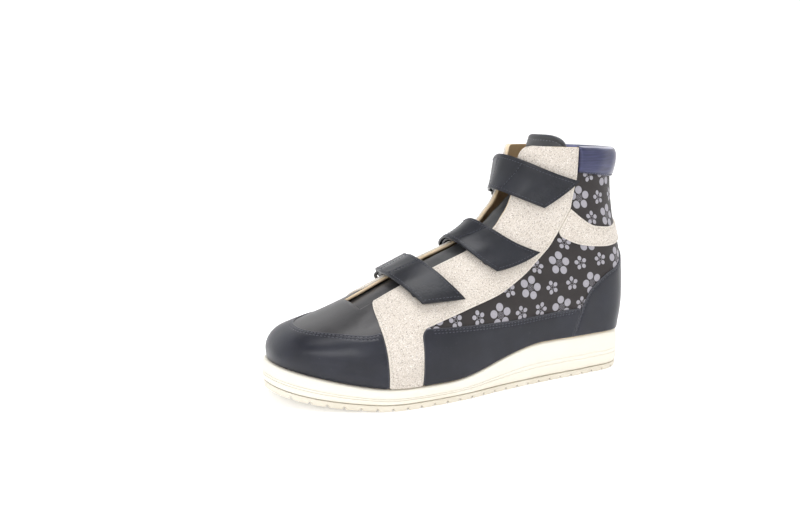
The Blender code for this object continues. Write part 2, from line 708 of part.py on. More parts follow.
def panel(name, outline, colour, roughness, sides=("outer", "inner")):
    """Panel on the upper: a layer over its face, cut out along an outline."""
    thing = as_object(name, upper_surface(SEAT_GAP), colour, roughness)
    thicken(thing, PANEL, 1)
    cut = thing.modifiers.new("outline", 'BOOLEAN')
    cut.operation = 'INTERSECT'
    cut.solver = 'EXACT'
    cut.object = prism(name + "_cutter", inset(outline, PANEL_SEAM / 2), sides)
    return thing


# Panels: leather round the toe, flecked canvas round the throat and the ankle, and leather
# along the sides and round the heel
strip_front, strip_rear = meeting("canvas_front"), meeting("strip_back")
counter_end = meeting("counter_front")
beyond_toe, behind_heel = 1.05 * LENGTH, -0.04 * LENGTH
NAVY, CANVAS = (0.030, 0.036, 0.055), (0.72, 0.68, 0.60)

toe_line = higher(seam("canvas_front")[:3]) + seam("toe_top")[1:]
panel("toe_wrap", toe_line + above_sole(beyond_toe, strip_front), NAVY, 0.45)

over_throat = [(0.75 * LENGTH, 0.60 * COLLAR_HEIGHT), (0.45 * LENGTH, 1.06 * COLLAR_HEIGHT)]
eyestay = (higher(seam("canvas_front")) + over_throat + seam("canvas_rear", True)
           + seam("canvas_lower", True)[:-1] + higher(seam("strip_back", True))
           + above_sole(strip_rear, strip_front, 2))
guard = (higher(seam("strip_back")) + seam("guard_top")[1:] + higher(seam("counter_front"))[1:]
         + above_sole(counter_end, strip_rear))
for side in ("outer", "inner"):
    panel("eyestay_" + side, eyestay, CANVAS, 0.85, (side,))
    panel("side_guard_" + side, guard, NAVY, 0.45, (side,))

counter = (seam("counter_top") + higher(seam("counter_front"))[1:]
           + above_sole(counter_end, behind_heel, 5))
panel("heel_counter", counter, NAVY, 0.45)
panel("ankle_band", seam("band_top") + seam("band_bottom"), CANVAS, 0.85)

# Collar pad: a padded band round the back of the collar, between the two eyestays
PAD_COLUMNS = 8
PAD_ROWS = 4


def across_at(row, x):
    """Distance from the ridge at which the upper's face passes a station."""
    low, high = 0.0, girth(row)
    for _ in range(30):
        middle = (low + high) / 2
        if skin(row, middle).x > x:
            low = middle
        else:
            high = middle
    return low


def pad_loop(share):
    """Closed section of the pad, share -1 at its inner end, 0 at the back seam, 1 outside."""
    inner, outer = [], []
    for step in range(PAD_ROWS + 1):
        row = ROW["cuff"] + (ROW["rim"] - ROW["cuff"]) * step / PAD_ROWS
        whole, end = girth(row), across_at(row, SEAMS["canvas_rear"][-1][0] * LENGTH - PANEL_SEAM)
        across = math.copysign(whole - (whole - end) * abs(share), share)
        normal = outward(row, across)
        if share == 0:
            normal = Vector((normal.x, 0, normal.z)).normalized()
        swell = math.sin(math.pi * step / PAD_ROWS) ** 0.7 if 0 < step < PAD_ROWS else 0.0
        swell *= math.sqrt(1 - 0.8 * abs(share) ** 3)
        face = skin(row, across)
        inner.append(face + normal * PAD_GAP)
        outer.append(face + normal * (PAD_GAP + PAD_EDGE + PAD_BULGE * swell))
    return inner + outer[::-1]


def tube(loops):
    """Closed body through loops of equally many points."""
    builder = bmesh.new()
    rings = [[builder.verts.new(point) for point in loop] for loop in loops]
    for first, second in zip(rings, rings[1:]):
        for at in range(len(first)):
            after = (at + 1) % len(first)
            builder.faces.new([first[at], first[after], second[after], second[at]])
    builder.faces.new(rings[0])
    builder.faces.new(rings[-1])
    return builder


loops = [pad_loop(step / PAD_COLUMNS) for step in range(-PAD_COLUMNS, PAD_COLUMNS + 1)]
as_object("collar_pad", tube(loops), (0.05, 0.06, 0.11), 0.35)

# Straps, with the ring and the tab of each. A strap starts at a slit on the outer side,
# runs over the tongue, round the ring on the inner side and back over itself.
STRAPS = [
    # name, rows of the last at the ring, ridge and end, then in strap widths from the
    # ridge to the ring and to the end, and the slant of the end on each side
    ("low", 4.83, 4.73, 4.95, 1.04, 1.72, 0.29),
    ("middle", 6.35, 6.17, 7.04, 0.96, 1.81, 0.43),
    ("high", 12.95, 12.70, 12.70, 0.88, 1.78, 0.34),
]
HALF = STRAP_WIDTH / 2
TURN = RING_WIRE / 2 + RING_FIT + STRAP_THICKNESS / 2
TAB_TURN = RING_WIRE / 2 + RING_FIT + TAB_THICKNESS / 2
UPPER_STEPS = 12
LOWER_STEPS = 7
STRAP_COLUMNS = 3


def slopes(row, across):
    """How a place of the upper's face moves with its row and with its distance across."""
    step_row, step_across = 0.01, 0.0004
    by_row = (skin(row + step_row, across) - skin(row - step_row, across)) / (2 * step_row)
    by_across = skin(row, across + step_across) - skin(row, across - step_across)
    return by_row, by_across / (2 * step_across)


def beside(row, across, move):
    """Row and distance across after a move along the upper's face, in small steps."""
    for _ in range(4):
        by_row, by_across = slopes(row, across)
        a, b, c = by_row.dot(by_row), by_row.dot(by_across), by_across.dot(by_across)
        e, f = by_row.dot(move) / 4, by_across.dot(move) / 4
        scale = a * c - b * b
        row, across = row + (e * c - f * b) / scale, across + (a * f - b * e) / scale
    return row, across


class Strap:
    """Places on and above the upper along one strap."""

    def __init__(self, table_row):
        self.name, self.at_ring, self.at_ridge, self.at_end = table_row[:4]
        self.ring, self.end, self.slant = [share * STRAP_WIDTH for share in table_row[4:]]
        row = self.row(-self.ring)
        self.normal = outward(row, -self.ring)
        self.away = -self.direction(-self.ring)
        self.aside = self.across_strap(-self.ring)
        self.bar = skin(row, -self.ring) + self.normal * RING_STAND
        lean = math.radians(RING_TILT)
        self.lie = self.away * math.cos(lean) - self.normal * math.sin(lean)

    def row(self, across):
        """Row of the last under the middle line: a parabola through ring, ridge and end."""
        a, b = -self.ring, self.end
        return (self.at_ring * across * (across - b) / (a * (a - b))
                + self.at_ridge * (across - a) * (across - b) / (a * b)
                + self.at_end * (across - a) * across / ((b - a) * b))

    def direction(self, across):
        """Direction of the middle line towards the strap's end."""
        step = 0.001
        ahead = skin(self.row(across + step), across + step)
        return (ahead - skin(self.row(across - step), across - step)).normalized()

    def across_strap(self, across):
        """Direction from the strap's front edge to its rear edge."""
        sideways = outward(self.row(across), across).cross(self.direction(across)).normalized()
        return sideways if sideways.x < 0 else -sideways

    def over(self, across, aside, height):
        """Place above the upper's face, aside of the middle line."""
        row, place = beside(self.row(across), across, self.across_strap(across) * aside)
        return skin(row, place) + outward(row, place) * height

    def near_ring(self, away, aside, height):
        """Place above the upper's face, squarely off the foot of the ring's bar."""
        move = self.away * away + self.aside * aside
        row, place = beside(self.row(-self.ring), -self.ring, move)
        return skin(row, place) + outward(row, place) * height

    def flat(self, away, up, aside):
        """Place in the ring's frame, from the middle of its strap-side bar."""
        return self.bar + self.away * away + self.normal * up + self.aside * aside

    def layer(self, across, aside, height, up):
        """Place of a layer that eases from the upper's face into the ring's frame."""
        near = 1 - smooth_step(0.0, RING_EASE, across + self.ring)
        face = self.over(across, aside, height)
        return face.lerp(self.flat(-(across + self.ring), up, aside), near) if near > 0 else face

    def line(self, share):
        """Points of the strap along its length at one place of its width."""
        aside = HALF * share
        end = self.end + self.slant * share
        points = []
        for step in range(UPPER_STEPS + 1):
            across = end - (end + self.ring) * step / UPPER_STEPS
            points.append(self.layer(across, aside, STRAP_UPPER, TURN))
        for angle in (45, 0, -45):
            turned = math.radians(angle)
            points.append(self.flat(TURN * math.cos(turned), TURN * math.sin(turned), aside))
        for step in range(LOWER_STEPS + 1):
            across = -self.ring + (STRAP_SLIT + self.ring) * step / LOWER_STEPS
            points.append(self.layer(across, aside, STRAP_LOWER, -TURN))
        return points

    def ring_points(self):
        """Middle line of the ring's wire, a rectangle with rounded corners."""
        far, half = RING_WIDTH - RING_WIRE, (RING_LENGTH - RING_WIRE) / 2
        points = []
        for side_away, side_aside, start in ((1, 1, 0), (0, 1, 90), (0, -1, 180), (1, -1, 270)):
            centre_away = far - RING_CORNER if side_away else RING_CORNER
            centre_aside = side_aside * (half - RING_CORNER)
            for angle in (start, start + 45, start + 90):
                turned = math.radians(angle)
                away = centre_away + RING_CORNER * math.cos(turned)
                aside = centre_aside + RING_CORNER * math.sin(turned)
                points.append(self.bar + self.lie * away + self.aside * aside)
        return points

    def tab_line(self, share):
        """Points of the tab: up from its slit, round the ring's outer bar and back."""
        aside = TAB_WIDTH / 2 * share
        bar = self.bar + self.lie * (RING_WIDTH - RING_WIRE) + self.aside * aside
        slit = RING_WIDTH - RING_WIRE + TAB_REACH
        points = [self.near_ring(slit, aside, TAB_HEIGHT)]
        for angle in (240, 210, 180, 140, 100, 60):
            turned = math.radians(angle)
            points.append(bar + (self.away * math.cos(turned) + self.normal * math.sin(turned)) * TAB_TURN)
        points.append(self.near_ring(slit, aside, TAB_HEIGHT + TAB_THICKNESS + RING_FIT))
        return points


def ribbon(name, lines, thickness, colour, roughness):
    """Band of even thickness through lines that run side by side."""
    thing = as_object(name, open_grid(lines), colour, roughness)
    thicken(thing, thickness, 0)
    return thing


def wire_ring(name, points, colour, roughness):
    """Closed ring of round wire along a line."""
    curve = bpy.data.curves.new(name, 'CURVE')
    curve.dimensions = '3D'
    curve.bevel_depth = RING_WIRE / 2
    curve.bevel_resolution = 2
    spline = curve.splines.new('POLY')
    spline.points.add(len(points) - 1)
    for place, point in zip(spline.points, points):
        place.co = (*point, 1.0)
    spline.use_cyclic_u = True
    thing = bpy.data.objects.new(name, curve)
    pieces.objects.link(thing)
    thing.parent = shoe
    paint(thing, name, colour, roughness)
    return thing


for table_row in STRAPS:
    strap = Strap(table_row)
    places = [2 * step / STRAP_COLUMNS - 1 for step in range(STRAP_COLUMNS + 1)]
    ribbon("strap_" + strap.name, [strap.line(share) for share in places],
           STRAP_THICKNESS, NAVY, 0.5)
    wire_ring("ring_" + strap.name, strap.ring_points(), (0.01, 0.01, 0.012), 0.12)
    ribbon("tab_" + strap.name, [strap.tab_line(share) for share in (-1, 0, 1)],
           TAB_THICKNESS, NAVY, 0.5)
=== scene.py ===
"""Look of the left high-top shoe with three straps, built over its fixed CAD frame.

The last's own x runs from the back of the sole, as in the CAD source; pieces are moved
back by HEEL_REST when they are made, so that the heel's rest is the origin.
"""
import math

import bmesh
import bpy
import numpy as np
from mathutils import Matrix, Vector


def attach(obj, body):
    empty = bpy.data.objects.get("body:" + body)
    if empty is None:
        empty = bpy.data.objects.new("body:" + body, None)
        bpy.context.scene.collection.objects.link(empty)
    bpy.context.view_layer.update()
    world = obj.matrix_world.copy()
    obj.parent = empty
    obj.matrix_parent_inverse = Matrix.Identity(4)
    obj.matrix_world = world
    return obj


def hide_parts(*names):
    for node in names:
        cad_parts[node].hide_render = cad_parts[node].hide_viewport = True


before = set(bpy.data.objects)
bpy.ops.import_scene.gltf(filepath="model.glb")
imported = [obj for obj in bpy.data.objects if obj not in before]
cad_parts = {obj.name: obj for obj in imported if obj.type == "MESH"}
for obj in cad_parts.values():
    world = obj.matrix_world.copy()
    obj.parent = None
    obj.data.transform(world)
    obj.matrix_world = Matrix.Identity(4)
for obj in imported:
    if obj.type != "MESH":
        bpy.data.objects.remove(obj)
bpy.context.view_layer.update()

# Camera, floor and light
# The camera stands as in the photo. A pale floor runs up into a round wall, and three
# large soft lamps and a pale sky light the shoe.
HEEL_REST = 0.040
scene = bpy.context.scene
camera = bpy.data.objects.new("camera", bpy.data.cameras.new("camera"))
scene.collection.objects.link(camera)
camera.data.lens = 36.0
camera.data.sensor_width = 36.0
camera.data.clip_start = 0.02
forward = Vector((-0.400758, -0.896985, -0.186574)).normalized()
right = forward.cross(Vector((0, 0, 1))).normalized()
turned = Matrix((right, right.cross(forward), -forward)).transposed().to_4x4()
camera.matrix_world = Matrix.Translation((0.39663 - HEEL_REST, 0.48916, 0.19234)) @ turned
scene.camera = camera
scene.view_settings.view_transform = 'Standard'

FLOOR_REACH, FLOOR_RISE, FLOOR_TOP = 1.6, 0.8, 3.0
FLOOR_SIDES, FLOOR_BENDS = 96, 12
FLOOR_GLOW, SKY_STRENGTH = 0.28, 0.28
SHOE_MIDDLE = Vector((0.09, 0.0, 0.06))
profile = [(0.0, 0.0), (FLOOR_REACH, 0.0)]
for step in range(1, FLOOR_BENDS + 1):
    angle = math.pi / 2 * step / FLOOR_BENDS
    profile.append((FLOOR_REACH + FLOOR_RISE * math.sin(angle), FLOOR_RISE * (1 - math.cos(angle))))
profile.append((FLOOR_REACH + FLOOR_RISE, FLOOR_TOP))
builder = bmesh.new()
hoops = []
for radius, height in profile[1:]:
    hoops.append([builder.verts.new((radius * math.cos(turn * math.tau / FLOOR_SIDES),
                                     radius * math.sin(turn * math.tau / FLOOR_SIDES), height))
                  for turn in range(FLOOR_SIDES)])
builder.faces.new(hoops[0])
for lower, higher in zip(hoops, hoops[1:]):
    for at in range(FLOOR_SIDES):
        after = (at + 1) % FLOOR_SIDES
        builder.faces.new([lower[at], lower[after], higher[after], higher[at]])
bmesh.ops.recalc_face_normals(builder, faces=builder.faces)
mesh = bpy.data.meshes.new("floor")
builder.to_mesh(mesh)
builder.free()
mesh.shade_smooth()
floor = bpy.data.objects.new("floor", mesh)
scene.collection.objects.link(floor)
material = bpy.data.materials.new("floor")
material.use_nodes = True
shader = material.node_tree.nodes["Principled BSDF"]
shader.inputs["Base Color"].default_value = (0.90, 0.90, 0.90, 1)
shader.inputs["Roughness"].default_value = 0.9
shader.inputs["Emission Color"].default_value = (1.0, 1.0, 1.0, 1)
shader.inputs["Emission Strength"].default_value = FLOOR_GLOW
mesh.materials.append(material)

world = bpy.data.worlds.new("sky")
world.use_nodes = True
world.node_tree.nodes["Background"].inputs["Color"].default_value = (1.0, 1.0, 1.0, 1)
world.node_tree.nodes["Background"].inputs["Strength"].default_value = SKY_STRENGTH
scene.world = world
LAMPS = [
    # name, place, size, power
    ("above", (0.10, 0.10, 1.50), 1.1, 14.0),
    ("front", (0.95, 1.05, 0.85), 0.7, 5.0),
    ("behind", (-0.90, -0.70, 0.90), 0.9, 4.0),
]
for name, place, size, power in LAMPS:
    lamp = bpy.data.lights.new("lamp_" + name, 'AREA')
    lamp.shape = 'DISK'
    lamp.size = size
    lamp.energy = power
    holder = bpy.data.objects.new("lamp_" + name, lamp)
    scene.collection.objects.link(holder)
    holder.location = place
    aim = SHOE_MIDDLE - Vector(place)
    holder.rotation_euler = aim.to_track_quat('-Z', 'Y').to_euler()

# Upper
# The real upper is flowered cloth over a tan leather lining, with a plug of smooth leather
# over the toes, pulled over the last and glued into the sole.
LENGTH = 0.272
BALL_WIDTH = 0.098
HEEL_WIDTH = 0.068
COLLAR_WIDTH = 0.060
TOE_HEIGHT = 0.0545
INSTEP_HEIGHT = 0.101
COLLAR_HEIGHT = 0.1655
WALL = 0.0022
THROAT_INNER, THROAT_FRONT, THROAT_TOP, THROAT_CORNER = 0.0100, 0.0165, 0.0085, 0.0090
HEEL_SOLE, BALL_SOLE, TOE_SOLE = 0.0295, 0.0140, 0.0190
TOE_SPRING, SPRING_START = 0.0090, 0.70
LAST = [
    # name, base along and up, width, base half and centre, widest half, its level,
    # ridge along and up, height, ridge shift, roundness above and below the widest
    ("tip", 0.9853, None, "ball", 0.000, -0.225, 0.000, 0.30, 0.9853, 0.514, "toe", -0.225, 2.3, 2.2),
    ("toe", 0.9651, None, "ball", 0.350, -0.220, 0.372, 0.34, 0.9790, 0.690, "toe", -0.225, 2.3, 2.2),
    ("cap", 0.9118, None, "ball", 0.622, -0.190, 0.646, 0.34, 0.9449, 0.845, "toe", -0.205, 2.4, 2.2),
    ("plug", 0.8162, None, "ball", 0.822, -0.105, 0.858, 0.32, 0.8713, 0.958, "toe", -0.160, 2.4, 2.2),
    ("throat", 0.7240, None, "ball", 0.902, -0.020, 0.950, 0.30, 0.7831, 0.614, "instep", -0.125, 2.2, 2.2),
    ("ball", 0.5699, None, "ball", 0.820, 0.065, 0.857, 0.30, 0.5956, 0.861, "instep", -0.071, 1.95, 2.2),
    ("waist", 0.4338, None, "ball", 0.718, 0.069, 0.742, 0.32, 0.4816, 1.000, "instep", -0.031, 1.85, 2.3),
    ("shank", 0.2868, None, "heel", 0.980, 0.050, 1.008, 0.36, 0.4265, 0.683, "collar", 0.0, 1.9, 2.4),
    ("seat", 0.1618, None, "heel", 0.960, 0.012, 0.990, 0.38, 0.4026, 0.728, "collar", 0.0, 2.0, 2.5),
    ("heel", 0.0551, None, "heel", 0.800, 0.0, 0.978, 0.40, 0.3871, 0.761, "collar", 0.0, 2.0, 2.4),
    ("corner", 0.0037, None, "heel", 0.000, 0.0, 0.970, 0.42, 0.3772, 0.789, "collar", 0.0, 2.0, 2.2),
    ("counter", -0.0062, 0.314, "heel", 0.0, 0.0, 0.960, 0.44, 0.3662, 0.822, "collar", 0.0, 2.0, 2.2),
    ("ankle", 0.0015, 0.502, "heel", 0.0, 0.0, 0.930, 0.46, 0.3588, 0.849, "collar", 0.0, 2.0, 2.2),
    ("neck", 0.0290, 0.683, "collar", 0.0, 0.0, 0.983, 0.49, 0.3529, 0.879, "collar", 0.0, 2.0, 2.2),
    ("cuff", 0.0430, 0.852, "collar", 0.0, 0.0, 0.973, 0.50, 0.3485, 0.915, "collar", 0.0, 2.0, 2.2),
    ("rim", 0.0400, 0.979, "collar", 0.0, 0.0, 1.000, 0.50, 0.3364, 1.000, "collar", 0.0, 2.0, 2.2),
    ("above", 0.0410, 1.051, "collar", 0.0, 0.0, 1.017, 0.50, 0.3217, 1.070, "collar", 0.0, 2.0, 2.2),
]
ROW = {row[0]: index for index, row in enumerate(LAST)}
STEPS_TO_NEXT_ROW = [11, 12, 18, 16, 26, 23, 25, 21, 19, 24, 14, 20, 19, 18, 13]
SIDE_COLUMNS, PLUG_COLUMNS = 48, 6
HEEL_CROWDING = 0.5
ARC_SAMPLES = 48
HALF_WIDTHS = {"ball": BALL_WIDTH / 2, "heel": HEEL_WIDTH / 2, "collar": COLLAR_WIDTH / 2}
HEIGHTS = {"toe": TOE_HEIGHT, "instep": INSTEP_HEIGHT, "collar": COLLAR_HEIGHT}


def smooth_step(low, high, value):
    """0 below low, 1 above high and a soft S between them."""
    share = min(max((value - low) / (high - low), 0.0), 1.0)
    return share * share * (3 - 2 * share)


def floor_line(x):
    """Height of the sole's underside."""
    lift = max(x / LENGTH - SPRING_START, 0.0) / (1 - SPRING_START)
    return TOE_SPRING * lift * lift


def sole_top(x):
    """Height of the sole's upper face."""
    heel_share = 1 - smooth_step(0.30, 0.60, x / LENGTH)
    toe_share = smooth_step(0.70, 0.99, x / LENGTH)
    thickness = BALL_SOLE + (HEEL_SOLE - BALL_SOLE) * heel_share + (TOE_SOLE - BALL_SOLE) * toe_share
    return floor_line(x) + thickness


def through(values, position, before=None, after=None):
    """Smooth curve through evenly spaced values, read at a position between them."""
    first = 2 * values[0] - values[1] if before is None else before
    last = 2 * values[-1] - values[-2] if after is None else after
    padded = [first] + list(values) + [last]
    index = min(max(int(math.floor(position)), 0), len(values) - 2)
    share = position - index
    a, b, c, d = padded[index:index + 4]
    slope_b, slope_c = (c - a) / 2, (d - b) / 2
    square, cube = share * share, share * share * share
    return (b * (2 * cube - 3 * square + 1) + slope_b * (cube - 2 * square + share)
            + c * (3 * square - 2 * cube) + slope_c * (cube - square))


def column(index):
    """One column of the last's table."""
    return [row[index] for row in LAST]


def scaled(index):
    """One column of the last's table, times the half width that its row follows."""
    return [row[index] * HALF_WIDTHS[row[3]] for row in LAST]


CORNER = ROW["corner"]
BASE_X = [share * LENGTH for share in column(1)]
BASE_HALF, BASE_CENTRE, WIDEST = scaled(4), scaled(5), scaled(6)
LEVEL = column(7)
RIDGE_X = [share * LENGTH for share in column(8)]
RIDGE_Z = [row[9] * HEIGHTS[row[10]] for row in LAST]
RIDGE_SHIFT = scaled(11)
CROWN = column(12)
CHEEK = column(13)
SEAM_Z = [sole_top(BASE_X[CORNER])] + [row[2] * COLLAR_HEIGHT for row in LAST[CORNER + 1:]]
SEAM_ROWS = [SEAM_Z[0]] * CORNER + SEAM_Z
RIDGE_Z[0] = sole_top(BASE_X[0])


def feather(row):
    """Where the upper meets the sole at a row: x, half width and centre."""
    x = through(BASE_X[:CORNER + 1], row, BASE_X[1], BASE_X[CORNER - 1])
    half = through(BASE_HALF[:CORNER + 1], row, -BASE_HALF[1], -BASE_HALF[CORNER - 1])
    centre = through(BASE_CENTRE[:CORNER + 1], row, BASE_CENTRE[1], BASE_CENTRE[CORNER - 1])
    return x, max(half, 0.0), centre


def last_value(values, row, before=None):
    """A column of the last at a row."""
    if row <= CORNER:
        return through(values[:CORNER + 1], row, before, values[CORNER - 1])
    return through(values[CORNER:], row - CORNER)


def look_up(table, place):
    """Value of a rising table of pairs at a place, held beyond its ends."""
    if place <= table[0][0]:
        return table[0][1]
    for (low, first), (high, second) in zip(table, table[1:]):
        if low <= place <= high:
            return first + (second - first) * (place - low) / max(high - low, 1e-9)
    return table[-1][1]


PLAN = [feather(CORNER - step / 20)[:2] for step in range(20 * (CORNER - ROW["throat"]))]
BACK = [(last_value(SEAM_ROWS, CORNER + step / 10), last_value(BASE_X, CORNER + step / 10))
        for step in range(10 * (ROW["above"] - CORNER))]


def round_heel(up, base, ridge):
    """Half width of the base line that a place of a section stands over."""
    x, z = base[0] + (ridge[0] - base[0]) * up, base[1] + (ridge[1] - base[1]) * up
    return look_up(PLAN, x - look_up(BACK, z) + BASE_X[CORNER])


SECTIONS = {}


def section(row):
    """Points of one section's left half from base to ridge, with their distance along it."""
    key = round(row, 5)
    if key in SECTIONS:
        return SECTIONS[key]
    if row <= CORNER:
        base_x, base_half, base_y = feather(row)
        base_z = sole_top(base_x)
    else:
        base_x, base_z = last_value(BASE_X, row), last_value(SEAM_ROWS, row)
        base_half, base_y = 0.0, 0.0
    ridge_x = last_value(RIDGE_X, row, RIDGE_X[1])
    ridge_z = last_value(RIDGE_Z, row, 2 * RIDGE_Z[0] - RIDGE_Z[1])
    ridge_y = last_value(RIDGE_SHIFT, row, RIDGE_SHIFT[1])
    widest = max(last_value(WIDEST, row, -WIDEST[1]), base_half)
    level, crown, cheek = (last_value(values, row) for values in (LEVEL, CROWN, CHEEK))
    share = min(base_half / widest, 0.995) if widest > 1e-6 else 0.995
    first = math.asin(share ** (cheek / 2))
    depth = level / max(math.cos(first) ** (2 / cheek), 1e-6)
    shape = []
    for step in range(ARC_SAMPLES + 1):
        angle = first + (math.pi / 2 - first) * step / ARC_SAMPLES
        up = level - depth * max(math.cos(angle), 0.0) ** (2 / cheek)
        shape.append((up, widest * math.sin(angle) ** (2 / cheek)))
    for step in range(1, ARC_SAMPLES + 1):
        angle = math.pi / 2 * step / ARC_SAMPLES
        cosine = max(math.cos(angle), 0.0)
        up = level + (1 - level) * math.sin(angle) ** (2 / crown)
        shape.append((up, widest * cosine ** (2 / crown)))
    heel = (smooth_step(ROW["shank"], ROW["seat"] + 0.5, row)
            * (1 - smooth_step(ROW["counter"], ROW["neck"], row)))
    if heel > 0:
        ends = (base_x, base_z), (ridge_x, ridge_z)
        reach = widest / round_heel(level, *ends)
        for number, (up, half) in enumerate(shape[:ARC_SAMPLES + 1]):
            rounded = round_heel(up, *ends) * (1 + (reach - 1) * smooth_step(0, level, up))
            shape[number] = (up, half + (rounded - half) * heel)
    base, ridge = Vector((base_x, base_y, base_z)), Vector((ridge_x, ridge_y, ridge_z))
    span = math.dist((base_x, base_z), (ridge_x, ridge_z))
    lengths = [0.0]
    for (up_a, half_a), (up_b, half_b) in zip(shape, shape[1:]):
        lengths.append(lengths[-1] + math.hypot((up_b - up_a) * span, half_b - half_a))
    SECTIONS[key] = (base, ridge, shape, lengths)
    return SECTIONS[key]


def girth(row):
    """Length of the section from base to ridge, on one side."""
    return section(row)[3][-1]


def skin(row, across):
    """Point of the upper's outer face: across is the distance from the ridge, + outwards."""
    base, ridge, shape, lengths = section(row)
    wanted = min(max(lengths[-1] - abs(across), 0.0), lengths[-1])
    low, high = 0, len(lengths) - 1
    while high - low > 1:
        middle = (low + high) // 2
        if lengths[middle] <= wanted:
            low = middle
        else:
            high = middle
    gap = lengths[high] - lengths[low]
    share = (wanted - lengths[low]) / gap if gap > 0 else 0.0
    up = shape[low][0] + (shape[high][0] - shape[low][0]) * share
    half = shape[low][1] + (shape[high][1] - shape[low][1]) * share
    point = base.lerp(ridge, up)
    point.y += math.copysign(half, across)
    return point


def outward(row, across):
    """Direction that points out of the upper at a place of its outer face."""
    step_row, step_across = 0.02, 0.0008
    along = skin(row + step_row, across) - skin(row - step_row, across)
    around = skin(row, across + step_across) - skin(row, across - step_across)
    normal = along.cross(around)
    return -normal.normalized() if around.length > 0 else Vector((0, 0, 1))


def throat_edge(row, side):
    """Distance from the ridge to the throat's edge, with the flap's top corner rounded."""
    up = (row - ROW["throat"]) / (ROW["rim"] - ROW["throat"])
    edge = THROAT_FRONT + (THROAT_TOP - THROAT_FRONT) * min(max(up, 0.0), 1.0)
    if side < 0:
        edge = THROAT_INNER
    start = ROW["cuff"] + 0.35
    rise = min(max((row - start) / (ROW["rim"] - start), 0.0), 1.0)
    return min(edge + THROAT_CORNER * (1 - math.sqrt(1 - rise * rise)), girth(row) * 0.4)


GRID_ROWS = [0.0]
for start, steps in enumerate(STEPS_TO_NEXT_ROW):
    to_next = [(step + 1) / steps for step in range(steps)]
    if start == CORNER - 1:
        to_next = [1 - math.sqrt(1 - share) for share in to_next]
    GRID_ROWS += [start + share for share in to_next]

# Soft troughs pressed into the leather and cloth where the foot bends, in the side view
CREASES = [
    # side (1 outer, -1 inner), from x and z to x and z, half width, depth
    (1, 0.171, 0.034, 0.183, 0.049, 0.0020, 0.00035),
    (1, 0.163, 0.030, 0.171, 0.045, 0.0024, 0.00030),
    (1, 0.196, 0.066, 0.208, 0.056, 0.0026, 0.00040),
    (1, 0.203, 0.062, 0.216, 0.053, 0.0022, 0.00030),
    (1, 0.060, 0.112, 0.032, 0.104, 0.0030, 0.00045),
    (1, 0.058, 0.128, 0.034, 0.122, 0.0026, 0.00035),
    (-1, 0.170, 0.032, 0.186, 0.047, 0.0022, 0.00035),
    (-1, 0.158, 0.030, 0.168, 0.044, 0.0024, 0.00030),
    (-1, 0.197, 0.065, 0.209, 0.055, 0.0026, 0.00035),
    (-1, 0.060, 0.111, 0.030, 0.102, 0.0030, 0.00045),
    (-1, 0.056, 0.127, 0.034, 0.120, 0.0026, 0.00035),
]


def crease(point, side):
    """Depth of the soft troughs at a place of the upper's face."""
    depth = 0.0
    for on, x_a, z_a, x_b, z_b, width, deep in CREASES:
        if on * side <= 0:
            continue
        run_x, run_z = x_b - x_a, z_b - z_a
        share = ((point.x - x_a) * run_x + (point.z - z_a) * run_z) / (run_x ** 2 + run_z ** 2)
        fade = smooth_step(-0.25, 0.25, share) * (1 - smooth_step(0.75, 1.25, share))
        if fade > 0:
            away = ((point.x - x_a) * run_z - (point.z - z_a) * run_x) / math.hypot(run_x, run_z)
            depth += deep * fade * (math.exp(-(away / width) ** 2)
                                    - 0.35 * math.exp(-((away - 1.6 * width) / width) ** 2))
    return depth


def cloth_place(point, side):
    """Where a point lies on the cloth laid flat: distance from the back seam, and height."""
    ahead = max(point.x - look_up(BACK, point.z), 0.0)
    return Vector((side * (HEEL_ROUND + look_up(UNROLLED, ahead)), point.z, 0.0))


HEEL_ROUND = 0.021          # taken off the cloth's length where it bends round the heel
UNROLLED = [(0.0, -HEEL_ROUND)]
for (x_a, half_a), (x_b, half_b) in zip(PLAN, PLAN[1:]):
    UNROLLED.append((x_b - PLAN[0][0], UNROLLED[-1][1] + math.hypot(x_b - x_a, half_b - half_a)))


def make_surface():
    """The upper's points, each with place, normal, row, across and cloth, and its faces."""
    points, faces, grid = [], [], []
    for row in GRID_ROWS:
        whole = girth(row)
        power = 1 + HEEL_CROWDING * smooth_step(ROW["shank"], ROW["heel"], row)
        halves = []
        for side in (1, -1):
            edge = throat_edge(row, side)
            half = [whole - (whole - edge) * (step / SIDE_COLUMNS) ** power
                    for step in range(SIDE_COLUMNS + 1)]
            half += [edge * (1 - step / PLUG_COLUMNS) for step in range(1, PLUG_COLUMNS)]
            halves.append([side * value for value in half])
        places = halves[0] + [0.0] + halves[1][::-1]
        numbers = []
        for at, across in enumerate(places):
            if row == 0 and at:
                numbers.append(numbers[0])
            elif row >= CORNER and at == len(places) - 1:
                numbers.append(numbers[0])
            else:
                side = 1 if across > 0 else -1
                point = skin(row, across)
                numbers.append(len(points))
                points.append([point, None, row, across, cloth_place(point, side)])
        grid.append(numbers)
    for number, (front, rear) in enumerate(zip(grid, grid[1:])):
        for at in range(len(front) - 1):
            in_throat = SIDE_COLUMNS <= at < SIDE_COLUMNS + 2 * PLUG_COLUMNS
            if in_throat and GRID_ROWS[number] >= ROW["throat"]:
                continue
            face = list(dict.fromkeys([front[at], front[at + 1], rear[at + 1], rear[at]]))
            if len(face) > 2:
                faces.append(face)
    normals = [Vector((0, 0, 0)) for _ in points]
    for face in faces:
        first, second, third = (points[at][0] for at in face[:3])
        normal = (second - first).cross(third - first)
        if len(face) == 4:
            normal += (third - first).cross(points[face[3]][0] - first)
        for at in face:
            normals[at] += normal
    turn = 1 if normals[grid[ROW["plug"] * 10][len(grid[0]) // 2]].z > 0 else -1
    for point, normal in zip(points, normals):
        point[1] = (normal * turn).normalized() if normal.length > 0 else Vector((0, 0, 1))
    for point in points:
        point[0] = point[0] - point[1] * crease(point[0], point[3])
    return points, faces


